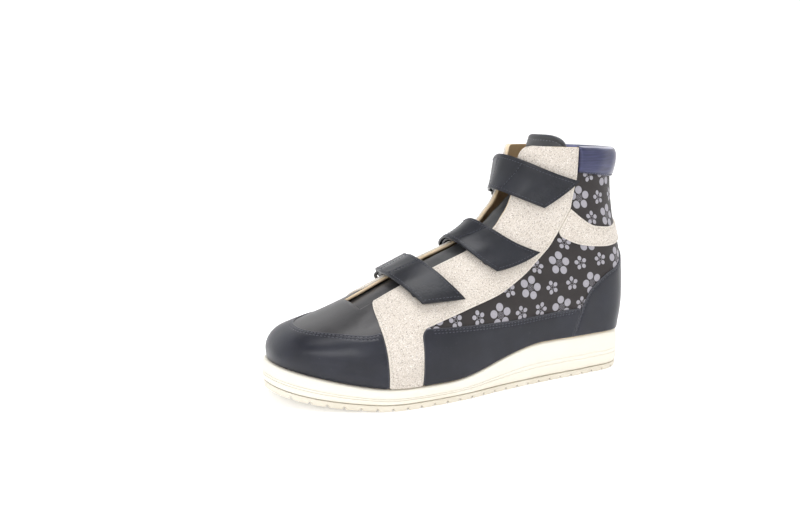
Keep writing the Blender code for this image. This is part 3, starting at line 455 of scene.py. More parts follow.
SURFACE, SURFACE_FACES = make_surface()


class Body:
    """Faces gathered for one piece, with material numbers and two values for its shading."""

    def __init__(self):
        self.points, self.faces, self.marks, self.cloth, self.edge = [], [], [], [], []

    def add(self, points, faces, mark=0, cloth=None, edge=None):
        """Add faces over points; edge is how far each point lies inside the piece's edge."""
        first = len(self.points)
        self.points += points
        self.faces += [[first + at for at in face] for face in faces]
        self.marks += mark if isinstance(mark, list) else [mark] * len(faces)
        self.cloth += cloth if cloth else [Vector((0, 0, 0))] * len(points)
        self.edge += edge if edge else [0.02] * len(points)

    def make(self, name, materials, replaced, sharp=50):
        """Turn the faces into a piece that rides on the CAD body."""
        mesh = bpy.data.meshes.new(name)
        places = [(point.x - HEEL_REST, point.y, point.z) for point in self.points]
        mesh.from_pydata(places, [], self.faces)
        for material in materials:
            mesh.materials.append(material)
        mesh.polygons.foreach_set("material_index", self.marks)
        cloth = mesh.attributes.new("cloth", 'FLOAT_VECTOR', 'POINT')
        cloth.data.foreach_set("vector", [value for place in self.cloth for value in place])
        edge = mesh.attributes.new("edge", 'FLOAT', 'POINT')
        edge.data.foreach_set("value", self.edge)
        builder = bmesh.new()
        builder.from_mesh(mesh)
        loose = [vert for vert in builder.verts if not vert.link_faces]
        bmesh.ops.delete(builder, geom=loose, context='VERTS')
        bmesh.ops.recalc_face_normals(builder, faces=builder.faces)
        builder.to_mesh(mesh)
        builder.free()
        mesh.shade_smooth()
        mesh.set_sharp_from_angle(angle=math.radians(sharp))
        piece = bpy.data.objects.new(name, mesh)
        scene.collection.objects.link(piece)
        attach(piece, "root")
        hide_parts(*replaced)
        return piece


class Wires:
    """Short ways to add nodes to a shader tree."""

    def __init__(self, tree):
        self.tree = tree

    def put(self, kind, inputs=None, **settings):
        """Add a node, set it and fill its inputs with values or links."""
        node = self.tree.nodes.new(kind)
        for key, value in settings.items():
            setattr(node, key, value)
        for key, value in (inputs or {}).items():
            if isinstance(value, bpy.types.NodeSocket):
                self.tree.links.new(value, node.inputs[key])
            else:
                node.inputs[key].default_value = value
        return node

    def calc(self, operation, *values):
        """Result of a sum."""
        return self.put("ShaderNodeMath", dict(enumerate(values)), operation=operation).outputs[0]

    def add(self, first, second):
        """The two values added."""
        return self.calc('ADD', first, second)

    def less(self, first, second):
        """The first value less the second."""
        return self.calc('SUBTRACT', first, second)

    def times(self, first, second):
        """The two values multiplied."""
        return self.calc('MULTIPLY', first, second)

    def rise(self, value, low, high):
        """0 below low, 1 above high."""
        inputs = {"Value": value, "From Min": low, "From Max": high}
        return self.put("ShaderNodeMapRange", inputs, interpolation_type='SMOOTHSTEP').outputs[0]

    def mix(self, share, first, second):
        """Colour between two colours."""
        node = self.put("ShaderNodeMix", {0: share, 6: first, 7: second}, data_type='RGBA')
        return node.outputs[2]

    def noise(self, place, scale, detail=2.0, rough=0.5):
        """Cloudy value at a place."""
        inputs = {"Vector": place, "Scale": scale, "Detail": detail, "Roughness": rough}
        return self.put("ShaderNodeTexNoise", inputs).outputs[0]

    def group(self, tree, **inputs):
        """Use a node group."""
        return self.put("ShaderNodeGroup", inputs, node_tree=tree).outputs

    def attribute(self, name, output):
        """A value stored on the mesh."""
        return self.put("ShaderNodeAttribute", attribute_name=name).outputs[output]

    def place(self):
        """Place in the object's own frame, in metres."""
        return self.put("ShaderNodeTexCoord").outputs["Object"]


def node_group(name, inputs, outputs):
    """Empty shader node group with its sockets, and the wires inside it."""
    tree = bpy.data.node_groups.new(name, 'ShaderNodeTree')
    for socket, kind in inputs:
        tree.interface.new_socket(socket, in_out='INPUT', socket_type=kind)
    for socket, kind in outputs:
        tree.interface.new_socket(socket, in_out='OUTPUT', socket_type=kind)
    wires = Wires(tree)
    return tree, wires, wires.put("NodeGroupInput").outputs, wires.put("NodeGroupOutput").inputs


def finish_of(name, constants=None):
    """New material with its wires and its Principled shader."""
    material = bpy.data.materials.new(name)
    material.use_nodes = True
    shader = material.node_tree.nodes["Principled BSDF"]
    for key, value in (constants or {}).items():
        shader.inputs[key].default_value = value
    return material, Wires(material.node_tree), shader.inputs


def join(wires, source, target):
    """Link an output to an input."""
    wires.tree.links.new(source, target)


def bump_of(wires, height, depth, distance=0.001):
    """Normal made from a height."""
    inputs = {"Height": height, "Strength": depth, "Distance": distance}
    return wires.put("ShaderNodeBump", inputs).outputs[0]


VALUE, COLOUR, VECTOR = 'NodeSocketFloat', 'NodeSocketColor', 'NodeSocketVector'
PETALS = 5


def flower(wires, x, y, lean, petal_at, petal_wide, petal_long):
    """Mask of five round petals about a centre, and the distance from it."""
    far = wires.calc('SQRT', wires.add(wires.times(x, x), wires.times(y, y)))
    angle = wires.add(wires.calc('ARCTAN2', x, y), lean)
    sector = math.tau / PETALS
    turns = wires.calc('FLOOR', wires.add(wires.calc('DIVIDE', angle, sector), 0.5))
    folded = wires.less(angle, wires.times(turns, sector))
    aside = wires.calc('DIVIDE', wires.times(far, wires.calc('SINE', folded)), petal_wide)
    out = wires.less(wires.times(far, wires.calc('COSINE', folded)), petal_at)
    out = wires.calc('DIVIDE', out, petal_long)
    reach = wires.add(wires.times(aside, aside), wires.times(out, out))
    return wires.less(1.0, wires.rise(reach, 0.88, 1.10)), far


def lattice(wires, u, v, pitch_u, pitch_v, stray, seed):
    """Place within the cell of a staggered lattice, its column and row, and a random turn."""
    high = wires.calc('DIVIDE', v, pitch_v)
    row = wires.calc('FLOOR', high)
    odd = wires.calc('FLOORED_MODULO', row, 2.0)
    wide = wires.add(wires.calc('DIVIDE', u, pitch_u), wires.times(odd, 0.5))
    column_number = wires.calc('FLOOR', wide)
    cell = wires.put("ShaderNodeCombineXYZ", {0: column_number, 1: row, 2: seed}).outputs[0]
    random = wires.put("ShaderNodeTexWhiteNoise", {"Vector": cell}, noise_dimensions='3D')
    parts = wires.put("ShaderNodeSeparateColor", {0: random.outputs["Color"]}).outputs
    local = []
    for place, number, pitch, part in ((wide, column_number, pitch_u, 0), (high, row, pitch_v, 1)):
        middle = wires.less(wires.less(place, number), 0.5)
        moved = wires.times(wires.less(parts[part], 0.5), 2 * stray)
        local.append(wires.less(wires.times(middle, pitch), moved))
    lean = wires.times(wires.less(random.outputs["Value"], 0.5), 0.7)
    return local, column_number, odd, lean


FLOWER_PITCH, FLOWER_ROW = 17.6, 15.2     # mm between the flowers
print_group, wires, given, result = node_group(
    "flower_print", [("Cloth", VECTOR)], [("Petals", VALUE), ("Lines", VALUE), ("Weave", VALUE)])
in_mm = wires.put("ShaderNodeVectorMath", {0: given["Cloth"], 3: 1000.0}, operation='SCALE')
flat_x, flat_y, _ = wires.put("ShaderNodeSeparateXYZ", {0: in_mm.outputs[0]}).outputs
local, number, odd, lean = lattice(wires, flat_x, flat_y, FLOWER_PITCH, FLOWER_ROW, 0.8, 3.0)
small, small_far = flower(wires, *local, lean, 3.4, 1.50, 1.65)
kept = wires.rise(wires.calc('FLOORED_MODULO', wires.add(number, odd), 3.0), 0.4, 0.6)
small = wires.times(small, kept)
small_line = wires.calc('LESS_THAN', wires.calc('ABSOLUTE', wires.less(small_far, 1.2)), 0.16)
small_line = wires.times(small_line, kept)
along = wires.add(flat_x, FLOWER_PITCH / 4)
raised = wires.add(flat_y, FLOWER_ROW / 2)
local, number, odd, lean = lattice(wires, raised, along, 2 * FLOWER_ROW, 1.5 * FLOWER_PITCH, 0.9, 8.0)
big, big_far = flower(wires, local[1], local[0], lean, 5.6, 2.75, 2.80)
rings = wires.calc('ABSOLUTE', wires.less(wires.calc('FRACT', wires.calc('DIVIDE', big_far, 0.85)), 0.5))
big_line = wires.times(wires.calc('LESS_THAN', rings, 0.15), wires.calc('LESS_THAN', big_far, 2.5))
join(wires, wires.calc('MAXIMUM', small, big), result["Petals"])
join(wires, wires.calc('MAXIMUM', small_line, big_line), result["Lines"])
threads_x = wires.calc('SINE', wires.times(wires.add(flat_x, flat_y), math.tau / 0.55))
threads_y = wires.calc('SINE', wires.times(wires.less(flat_x, flat_y), math.tau / 0.55))
join(wires, wires.times(threads_x, threads_y), result["Weave"])

leather_group, wires, given, result = node_group(
    "leather_grain", [("Place", VECTOR), ("Size", VALUE)], [("Height", VALUE), ("Cloud", VALUE)])
pebbles = wires.put("ShaderNodeTexVoronoi", {"Vector": given["Place"], "Scale": given["Size"]},
                    feature='SMOOTH_F1')
fine = wires.noise(given["Place"], 2600.0, 2.0, 0.6)
height = wires.add(wires.times(pebbles.outputs["Distance"], 0.8), wires.times(fine, 0.35))
join(wires, height, result["Height"])
join(wires, wires.noise(given["Place"], 38.0, 4.0, 0.6), result["Cloud"])


def leather(name, dark, light, rough, grain, depth, constants=None, edge_light=0.0, pebbled=None):
    """Smooth leather: two shades in soft clouds, fine grain, paler rubbed edges and some dust.

    Pebbled gives the distances from a strap's end where a deeper grain fades, and its depth."""
    material, wires, inputs = finish_of(name, constants)
    place = wires.place()
    grained = wires.group(leather_group, Place=place, Size=grain)
    base = wires.mix(wires.rise(grained["Cloud"], 0.32, 0.70), (*dark, 1), (*light, 1))
    near_edge = wires.less(1.0, wires.rise(wires.attribute("edge", "Fac"), 0.0002, 0.0011))
    rubbed = wires.times(near_edge, edge_light)
    base = wires.mix(rubbed, base, tuple(min(1.0, 0.16 + 2.2 * part) for part in light) + (1,))
    scratches = wires.rise(wires.noise(place, 310.0, 3.0, 0.7), 0.66, 0.80)
    base = wires.mix(wires.times(scratches, 0.10), base, (0.30, 0.29, 0.30, 1))
    join(wires, base, inputs["Base Color"])
    uneven = wires.times(wires.less(grained["Cloud"], 0.5), 0.22)
    join(wires, wires.add(uneven, rough), inputs["Roughness"])
    if pebbled:
        from_end = wires.put("ShaderNodeSeparateXYZ", {0: wires.attribute("cloth", "Vector")}).outputs[0]
        fade = wires.less(1.0, wires.rise(from_end, pebbled[0], pebbled[1]))
        depth = wires.add(wires.times(fade, pebbled[2]), depth)
    join(wires, bump_of(wires, grained["Height"], depth, 0.0004), inputs["Normal"])
    return material


cloth_print, wires, inputs = finish_of("flowered_cloth", {"Sheen Weight": 0.15, "Sheen Roughness": 0.4})
drawn = wires.group(print_group, Cloth=wires.attribute("cloth", "Vector"))
uneven = wires.noise(wires.place(), 900.0, 2.0, 0.6)
ground = wires.mix(uneven, (0.008, 0.006, 0.006, 1), (0.026, 0.019, 0.019, 1))
petals = wires.mix(uneven, (0.25, 0.24, 0.27, 1), (0.41, 0.395, 0.435, 1))
base = wires.mix(wires.times(drawn["Lines"], 0.85), ground, (0.26, 0.25, 0.28, 1))
join(wires, wires.mix(drawn["Petals"], base, petals), inputs["Base Color"])
join(wires, wires.add(wires.times(uneven, 0.2), 0.62), inputs["Roughness"])
raised = wires.add(wires.times(drawn["Weave"], 0.4), wires.times(drawn["Petals"], 0.9))
join(wires, bump_of(wires, raised, 0.35, 0.0002), inputs["Normal"])
plug_leather = leather("plug_leather", (0.026, 0.025, 0.027), (0.046, 0.044, 0.047), 0.38, 1500.0, 0.16,
                       {"Coat Weight": 0.08, "Coat Roughness": 0.3, "Specular IOR Level": 0.42})
lining_leather = leather("lining_leather", (0.42, 0.27, 0.13), (0.58, 0.40, 0.22), 0.55, 1300.0, 0.2)
edge_leather = leather("edge_leather", (0.56, 0.43, 0.27), (0.70, 0.57, 0.40), 0.6, 1300.0, 0.2)

body = Body()
places = [point[0] for point in SURFACE]
inner = [point[0] - point[1] * WALL for point in SURFACE]
cloth = [point[4] for point in SURFACE]
PLUG_BACK = 0.735 * LENGTH
marks = []
for face in SURFACE_FACES:
    middle = sum(SURFACE[at][0].x for at in face) / len(face)
    marks.append(1 if middle > PLUG_BACK else 0)
count = len(places)
used = {}
for face in SURFACE_FACES:
    for a, b in zip(face, face[1:] + face[:1]):
        used[(a, b)] = face
rims = [(a, b) for a, b in used if (b, a) not in used]
aside = {}
for a, b in rims:
    face = used[(a, b)]
    middle = sum((places[at] for at in face), Vector()) / len(face)
    away = (places[a] + places[b]) / 2 - middle
    for at in (a, b):
        aside[at] = (aside.get(at, Vector()) + away).normalized()
body.add(places, SURFACE_FACES, marks, cloth)
body.add(inner, [face[::-1] for face in SURFACE_FACES], 2)
RIM_STEPS, RIM_BULGE = 4, 0.32
order = {at: number for number, at in enumerate(aside)}
first_rim = len(body.points)
rim_points = []
for step in range(1, RIM_STEPS):
    share = step / RIM_STEPS
    for at in aside:
        bulge = math.sin(math.pi * share) * WALL * RIM_BULGE
        rim_points.append(places[at].lerp(inner[at], share) + aside[at] * bulge)
body.add(rim_points, [], 3)


def rim_number(at, step):
    """Number of a rim point: 0 is the outer face and RIM_STEPS the lining."""
    if step == 0:
        return at
    if step == RIM_STEPS:
        return count + at
    return first_rim + (step - 1) * len(order) + order[at]


for a, b in rims:
    for step in range(RIM_STEPS):
        face = [rim_number(b, step), rim_number(a, step), rim_number(a, step + 1), rim_number(b, step + 1)]
        body.faces.append(face)
        at_front = SURFACE[a][2] < ROW["throat"] + 0.01 and SURFACE[b][2] < ROW["throat"] + 0.01
        body.marks.append(1 if at_front and SURFACE[a][0].z > 0.04 else 3)
body.make("upper_cloth",
          [cloth_print, plug_leather, lining_leather, edge_leather], ["upper"])

# Panels on the upper
# Leather round the toe, the sides and the heel, and flecked canvas flaps and ankle band,
# laid on the cloth and sewn down along their edges with two or one rows of thread.
SEAMS = {
    "canvas_front": [(0.750, 0.060), (0.754, 0.175), (0.757, 0.302), (0.757, 0.332), (0.750, 0.381),
                     (0.728, 0.417)],
    "strip_back": [(0.669, 0.060), (0.665, 0.193), (0.662, 0.278), (0.651, 0.305)],
    "canvas_lower": [(0.651, 0.305), (0.537, 0.357), (0.456, 0.393), (0.415, 0.423), (0.360, 0.477),
                     (0.327, 0.520), (0.283, 0.580), (0.261, 0.628)],
    "canvas_rear": [(0.224, 0.737), (0.213, 0.816), (0.206, 0.882), (0.206, 1.060)],
    "guard_top": [(0.651, 0.305), (0.537, 0.299), (0.408, 0.293), (0.268, 0.302), (0.184, 0.305)],
    "counter_top": [(-0.040, 0.575), (-0.004, 0.544), (0.029, 0.514), (0.066, 0.471), (0.107, 0.441),
                    (0.156, 0.381), (0.184, 0.305)],
    "counter_front": [(0.184, 0.305), (0.202, 0.230), (0.228, 0.121)],
    "band_top": [(0.224, 0.737), (0.195, 0.698), (0.162, 0.665), (0.132, 0.653), (0.081, 0.647),
                 (0.029, 0.665), (-0.040, 0.690)],
    "band_bottom": [(-0.040, 0.612), (0.011, 0.592), (0.070, 0.568), (0.125, 0.565), (0.202, 0.583),
                    (0.261, 0.628)],
    "toe_top": [(0.757, 0.302), (0.790, 0.293), (0.849, 0.295), (0.912, 0.293), (1.050, 0.293)],
}
SEAM_STEPS = 8
PANEL_GAP = 0.00012         # from a panel's edge to the seam that it shares
ABOVE_SOLE = 0.0001


def seam(name, backwards=False):
    """Smooth line through the points of a seam in the side view, in metres."""
    table = SEAMS[name]
    steps = SEAM_STEPS * (len(table) - 1)
    line = []
    for step in range(steps + 1):
        line.append((through([point[0] for point in table], step / SEAM_STEPS) * LENGTH,
                     through([point[1] for point in table], step / SEAM_STEPS) * COLLAR_HEIGHT))
    return line[::-1] if backwards else line


def above_sole(first, last, steps=24):
    """Line just above the sole's face between two stations."""
    stations = [first + (last - first) * step / steps for step in range(steps + 1)]
    return [(x, sole_top(x) + ABOVE_SOLE) for x in stations]


def higher(points):
    """The points of a seam that lie above the sole."""
    return [(x, z) for x, z in points if z > sole_top(x) + ABOVE_SOLE]


def distances(outline):
    """Each surface point's distance from an outline, minus inside, and the nearest part."""
    spots = np.array([(point[0].x, point[0].z) for point in SURFACE])
    normals = np.array([(point[1].x, point[1].z) for point in SURFACE])
    corners = np.array([spot for _, line in outline for spot in line])
    labels = [label for label, line in outline for _ in line]
    best = np.full(len(spots), 1e9)
    nearest = np.zeros(len(spots), int)
    foot = np.zeros_like(spots)
    inside = np.zeros(len(spots), bool)
    for number, (a, b) in enumerate(zip(corners, np.roll(corners, -1, axis=0))):
        span = b - a
        share = np.clip(((spots - a) @ span) / max(span @ span, 1e-12), 0, 1)
        close = a + share[:, None] * span
        away = np.hypot(*(spots - close).T)
        nearer = away < best
        best[nearer], nearest[nearer], foot[nearer] = away[nearer], number, close[nearer]
        if a[1] != b[1]:
            passes = (a[1] > spots[:, 1]) != (b[1] > spots[:, 1])
            inside ^= passes & (spots[:, 0] < (b[0] - a[0]) * (spots[:, 1] - a[1]) / (b[1] - a[1]) + a[0])
    away = (spots - foot) / np.maximum(best, 1e-9)[:, None]
    facing = 1 - (away * normals).sum(axis=1) ** 2
    true = best / np.sqrt(np.maximum(facing, 0.08))
    return np.where(inside, -true, true).tolist(), [labels[at] for at in nearest]


def split(points, values, faces, level):
    """Cut faces along a level of the values. Points and values grow by the new corners."""
    cuts = {}
    made = []
    for face in faces:
        highest, lowest = max(values[at] for at in face), min(values[at] for at in face)
        if highest <= level or lowest >= level:
            made.append(face)
            continue
        low, high = [], []
        for a, b in zip(face, face[1:] + face[:1]):
            if values[a] <= level:
                low.append(a)
            if values[a] >= level:
                high.append(a)
            if (values[a] - level) * (values[b] - level) < 0:
                key = (min(a, b), max(a, b))
                if key not in cuts:
                    share = (level - values[a]) / (values[b] - values[a])
                    mixed = [p + (q - p) * share for p, q in zip(points[a], points[b])]
                    cuts[key] = len(points)
                    points.append(mixed)
                    values.append(level)
                low.append(cuts[key])
                high.append(cuts[key])
        made += [part for part in (low, high) if len(part) > 2]
    return made


def lines_at(values, faces, level):
    """Chains of points that lie on a level."""
    links = {}
    for face in faces:
        for a, b in zip(face, face[1:] + face[:1]):
            if values[a] == level == values[b]:
                links.setdefault(a, set()).add(b)
                links.setdefault(b, set()).add(a)
    chains = []
    while links:
        start = next((at for at, ahead in links.items() if len(ahead) == 1), None)
        chain = [next(iter(links)) if start is None else start]
        while chain[-1] in links:
            here = chain[-1]
            after = links[here].pop()
            if not links[here]:
                del links[here]
            links[after].discard(here)
            if not links[after]:
                del links[after]
            chain.append(after)
        chains.append(chain)
    return chains


COARSE_THREAD = (0.0026, 0.0019, 0.00032)   # pitch, length and radius of the stitches
FINE_THREAD = (0.0023, 0.0017, 0.00024)
STITCH_SINK, STITCH_SLANT, STITCH_SIDES = 0.35, 0.10, 5
STITCH_RINGS = ((-0.36, 0.75, 0.45), (0.0, 1.0, 0.8), (0.36, 0.75, 0.45))


def sew(body, line, mark, kind=COARSE_THREAD):
    """Row of thread stitches along a line of places and normals."""
    pitch, length, radius = kind
    middle, last, tip = STITCH_SIDES, 2 * STITCH_SIDES, 3 * STITCH_SIDES
    run = [0.0]
    for (place, _), (after, _) in zip(line, line[1:]):
        run.append(run[-1] + (after - place).length)
    count = int(run[-1] / pitch)
    if count < 1:
        return
    at = 0
    for number in range(count):
        wanted = (number + 0.5) * run[-1] / count
        while run[at + 1] < wanted:
            at += 1
        share = (wanted - run[at]) / max(run[at + 1] - run[at], 1e-9)
        place = line[at][0].lerp(line[at + 1][0], share)
        normal = line[at][1].lerp(line[at + 1][1], share).normalized()
        ahead = (line[at + 1][0] - line[at][0]).normalized()
        beside = normal.cross(ahead).normalized()
        ahead = (ahead + beside * STITCH_SLANT).normalized()
        place = place - normal * radius * STITCH_SINK
        points, faces = [], []
        for along, size, lift in STITCH_RINGS:
            for corner in range(STITCH_SIDES):
                turn = math.tau * corner / STITCH_SIDES
                points.append(place + ahead * (along * length)
                              + beside * (math.cos(turn) * size * radius)
                              + normal * ((math.sin(turn) * size + lift) * radius))
        points.append(place - ahead * (length / 2) - normal * radius * 0.4)
        points.append(place + ahead * (length / 2) - normal * radius * 0.4)
        for corner in range(STITCH_SIDES):
            after = (corner + 1) % STITCH_SIDES
            faces += [[corner, after, middle + after, middle + corner],
                      [middle + corner, middle + after, last + after, last + corner],
                      [tip, after, corner], [last + corner, last + after, tip + 1]]
        body.add(points, faces, mark)


EDGE_RISE = [(0.0, 0.50), (0.00012, 0.80), (0.00035, 0.95), (0.0007, 1.0)]
GROOVE_DEPTH, GROOVE_HALF = 0.00022, 0.0005
PANEL_REACH, PANEL_FLOAT = 0.0035, 0.00005
LEVEL_SNAP = 3e-5           # values nearer to a level than this are moved onto it


def panel(name, outline, side, thickness, rows, sewn, materials, replaced):
    """Closed sheet on the upper with a rounded edge and stitches along the sewn seams."""
    true, parts = distances(outline)
    number, points, values, labels = {}, [], [], []
    faces = []
    for face in SURFACE_FACES:
        if min(true[at] for at in face) > PANEL_REACH:
            continue
        middle = sum(SURFACE[at][3] for at in face)
        if side and middle * side < 0:
            continue
        for at in face:
            if at not in number:
                number[at] = len(points)
                row, across = SURFACE[at][2:4]
                in_throat = -1
                if row >= ROW["throat"] - 0.3:
                    in_throat = throat_edge(row, 1 if across >= 0 else -1) - abs(across) + 0.0002
                value = true[at] + PANEL_GAP
                is_sewn = 1.0 if parts[at] in sewn else 0.0
                if in_throat > value:
                    value, is_sewn = in_throat, 1.0 if "throat" in sewn else 0.0
                points.append([SURFACE[at][0], SURFACE[at][1], SURFACE[at][4], is_sewn])
                values.append(value)
        faces.append([number[at] for at in face])
    levels = [0.0] + [-place for place, _ in EDGE_RISE[1:]]
    for row in rows:
        levels += [-(row - GROOVE_HALF), -row, -(row + GROOVE_HALF)]
    for level in sorted(levels, reverse=True):
        for at, value in enumerate(values):
            if abs(value - level) < LEVEL_SNAP:
                values[at] = level
        faces = split(points, values, faces, level)
        if level == 0.0:
            faces = [face for face in faces if sum(values[at] for at in face) / len(face) < 0]
    tops, bottoms, edges = [], [], []
    for (place, normal, cloth, is_sewn), value in zip(points, values):
        inside = max(-value, 0.0)
        height = thickness * look_up(EDGE_RISE, inside)
        for row in rows:
            height -= GROOVE_DEPTH * is_sewn * math.exp(-((inside - row) / GROOVE_HALF) ** 2 * 2)
        tops.append(place + normal * (height + PANEL_FLOAT))
        bottoms.append(place + normal * PANEL_FLOAT)
        edges.append(inside)
    used = {(a, b): True for face in faces for a, b in zip(face, face[1:] + face[:1])}
    size = len(tops)
    walls = [[b, a, size + a, size + b] for a, b in used if (b, a) not in used]
    cloths = [point[2] for point in points]
    body = Body()
    body.add(tops + bottoms, faces + [[size + at for at in face[::-1]] for face in faces] + walls, 0,
             cloths + cloths, edges + [0.0] * size)
    for row in rows:
        for chain in lines_at(values, faces, -row):
            run = []
            for at in chain + [None]:
                if at is not None and points[at][3] > 0.5:
                    run.append((tops[at], points[at][1]))
                    continue
                if len(run) > 2:
                    sew(body, run, 1)
                run = []
    return body.make(name, materials, replaced)


fleck_group, wires, given, result = node_group(
    "canvas_flecks_and_painted_glints", [("Place", VECTOR)], [("Color", COLOUR), ("Height", VALUE), ("Rough", VALUE)])
coarse = wires.noise(given["Place"], 1050.0, 2.0, 0.7)
fine = wires.noise(given["Place"], 2300.0, 1.0, 0.5)
broad = wires.noise(given["Place"], 55.0, 3.0, 0.6)
colour = wires.mix(broad, (0.50, 0.44, 0.375, 1), (0.66, 0.60, 0.535, 1))
colour = wires.mix(wires.times(wires.rise(coarse, 0.53, 0.66), 0.80), colour, (0.22, 0.17, 0.14, 1))
# The pale flecks are painted glints of sparkle; the roughness is lowered on the same flecks.
colour = wires.mix(wires.times(wires.rise(fine, 0.54, 0.66), 0.85), colour, (0.88, 0.85, 0.82, 1))
join(wires, colour, result["Color"])
join(wires, wires.add(wires.times(coarse, 0.6), fine), result["Height"])
less_rough = wires.times(wires.rise(fine, 0.58, 0.75), 0.35)
join(wires, wires.less(0.78, less_rough), result["Rough"])
canvas, wires, inputs = finish_of("flecked_canvas", {"Sheen Weight": 0.2, "Sheen Roughness": 0.5})
flecks = wires.group(fleck_group, Place=wires.place())
frayed = wires.less(1.0, wires.rise(wires.attribute("edge", "Fac"), 0.0001, 0.0009))
base = wires.mix(wires.times(frayed, 0.55), flecks["Color"], (0.74, 0.69, 0.61, 1))
join(wires, base, inputs["Base Color"])
join(wires, flecks["Rough"], inputs["Roughness"])
join(wires, bump_of(wires, flecks["Height"], 0.5, 0.0003), inputs["Normal"])

NAVY_DARK, NAVY_LIGHT = (0.0060, 0.0068, 0.0125), (0.0125, 0.0138, 0.0230)
navy = leather("navy_leather", NAVY_DARK, NAVY_LIGHT, 0.34, 1500.0, 0.16,
               {"Coat Weight": 0.06, "Coat Roughness": 0.22, "Specular IOR Level": 0.36}, 0.22)


def thread(name, colour):
    """Twisted sewing thread."""
    material, wires, inputs = finish_of(name, {"Sheen Weight": 0.3})
    place = wires.place()
    twist = wires.noise(place, 3200.0, 1.0, 0.5)
    shaded = tuple(part * 0.6 for part in colour)
    join(wires, wires.mix(twist, (*shaded, 1), (*colour, 1)), inputs["Base Color"])
    join(wires, wires.add(wires.times(twist, 0.2), 0.5), inputs["Roughness"])
    join(wires, bump_of(wires, twist, 0.4, 0.0002), inputs["Normal"])
    return material


navy_thread = thread("navy_thread", (0.035, 0.038, 0.062))
pale_thread = thread("pale_thread", (0.62, 0.57, 0.50))
grey_thread = thread("grey_thread", (0.085, 0.085, 0.105))

LEATHER_PANEL, CANVAS_PANEL = 0.00085, 0.00115
beyond_toe, behind_heel = 1.05 * LENGTH, -0.04 * LENGTH
front_line, back_line = higher(seam("canvas_front")), higher(seam("strip_back"))
counter_line = higher(seam("counter_front"))
toe_front = [spot for spot in front_line if spot[1] < 0.302 * COLLAR_HEIGHT]
toe_outline = [("front", toe_front), ("toe_top", seam("toe_top")), ("end", [(beyond_toe, 0.02)]),
               ("sole", above_sole(beyond_toe, toe_front[0][0]))]
panel("toe_leather", toe_outline, 0, LEATHER_PANEL, [0.0014, 0.0031], ["toe_top"],
      [navy, grey_thread], ["toe_wrap"])

over_throat = [(0.75 * LENGTH, 0.60 * COLLAR_HEIGHT), (0.45 * LENGTH, 1.06 * COLLAR_HEIGHT)]
eyestay = [("front", front_line), ("none", over_throat), ("rear", seam("canvas_rear", True)),
           ("lower", seam("canvas_lower", True)[:-1]), ("strip", back_line[::-1]),
           ("sole", above_sole(back_line[0][0], front_line[0][0], 6))]
guard = [("strip", back_line), ("top", seam("guard_top")[1:]), ("counter", counter_line[1:]),
         ("sole", above_sole(counter_line[-1][0], back_line[0][0]))]
for side, ending in ((1, "outer"), (-1, "inner")):
    panel("canvas_flap_" + ending, eyestay, side, CANVAS_PANEL, [0.0017],
          ["front", "lower", "rear", "throat", "strip"], [canvas, pale_thread], ["eyestay_" + ending])
    panel("side_leather_" + ending, guard, side, LEATHER_PANEL, [0.0015, 0.0032],
          ["top"], [navy, navy_thread], ["side_guard_" + ending])

counter = [("top", seam("counter_top")), ("front", counter_line[1:]),
           ("sole", above_sole(counter_line[-1][0], behind_heel))]
panel("heel_leather", counter, 0, LEATHER_PANEL + 0.0001, [0.0016], ["top", "front"],
      [navy, navy_thread], ["heel_counter"])
band = [("top", seam("band_top")), ("bottom", seam("band_bottom"))]
panel("canvas_band", band, 0, CANVAS_PANEL, [0.0017], ["top", "bottom"],
      [canvas, pale_thread], ["ankle_band"])

# Midsole, outsole and insole
# A cream foam wedge with two shallow lines moulded round its side, a thin rubber sheet
# cut into lugs cemented under it, and a leather-covered sheet inside.
TOE_LEDGE, HEEL_LEDGE = 0.0040, 0.0010
OUTSOLE_THICKNESS, OUTSOLE_INSET = 0.0040, 0.0006
GROOVE_LIFT, GROOVE_WIDTH, LUG_PITCH = 0.0016, 0.0016, 0.0098
SOLE_GAP, SEAT_GAP = 0.0006, 0.00035
SOLE_STEPS = 130


def sole_outline(margin, ledge=True):
    """Left and right outline points at each station, a margin out from the upper's base line."""
    pairs = []
    for step in range(SOLE_STEPS + 1):
        row = CORNER * (1 - math.cos(math.pi * step / SOLE_STEPS)) / 2
        x, half, centre = feather(row)
        ahead, behind = feather(min(row + 0.02, CORNER)), feather(max(row - 0.02, 0))
        out = margin
        if ledge:
            out += HEEL_LEDGE + (TOE_LEDGE - HEEL_LEDGE) * smooth_step(0.1, 0.9, x / LENGTH)
        sides = []
        for side in (1, -1):
            run_x = ahead[0] - behind[0]
            run_y = (ahead[2] + side * ahead[1]) - (behind[2] + side * behind[1])
            normal = Vector((-side * run_y, side * run_x, 0)).normalized()
            if normal.y * side < 0:
                normal = -normal
            if step == 0:
                normal = Vector((1, 0, 0))
            if step == SOLE_STEPS:
                normal = Vector((-1, 0, 0))
            sides.append(Vector((x, centre + side * half, 0)) + normal * out)
        pairs.append(sides)
    return pairs


def between(loops, size):
    """Faces between closed loops of a size that follow each other."""
    faces = []
    for first in range(0, (loops - 1) * size, size):
        for at in range(size):
            after = (at + 1) % size
            faces.append([first + at, first + after, first + size + after, first + size + at])
    return faces


def slab(levels):
    """Points and faces of a closed body through levels of outlines with their heights."""
    points = []
    size = 2 * SOLE_STEPS
    for pairs, height in levels:
        loop = [left for left, _ in pairs] + [place for _, place in pairs[1:-1]][::-1]
        points += [Vector((p.x, p.y, height(p.x))) for p in loop]
    faces = between(len(levels), size)
    for first in (0, (len(levels) - 1) * size):
        for at in range(SOLE_STEPS):
            face = [at, at + 1, (size - at - 1) % size, (size - at) % size]
            faces.append([first + number for number in dict.fromkeys(face)])
    return points, faces


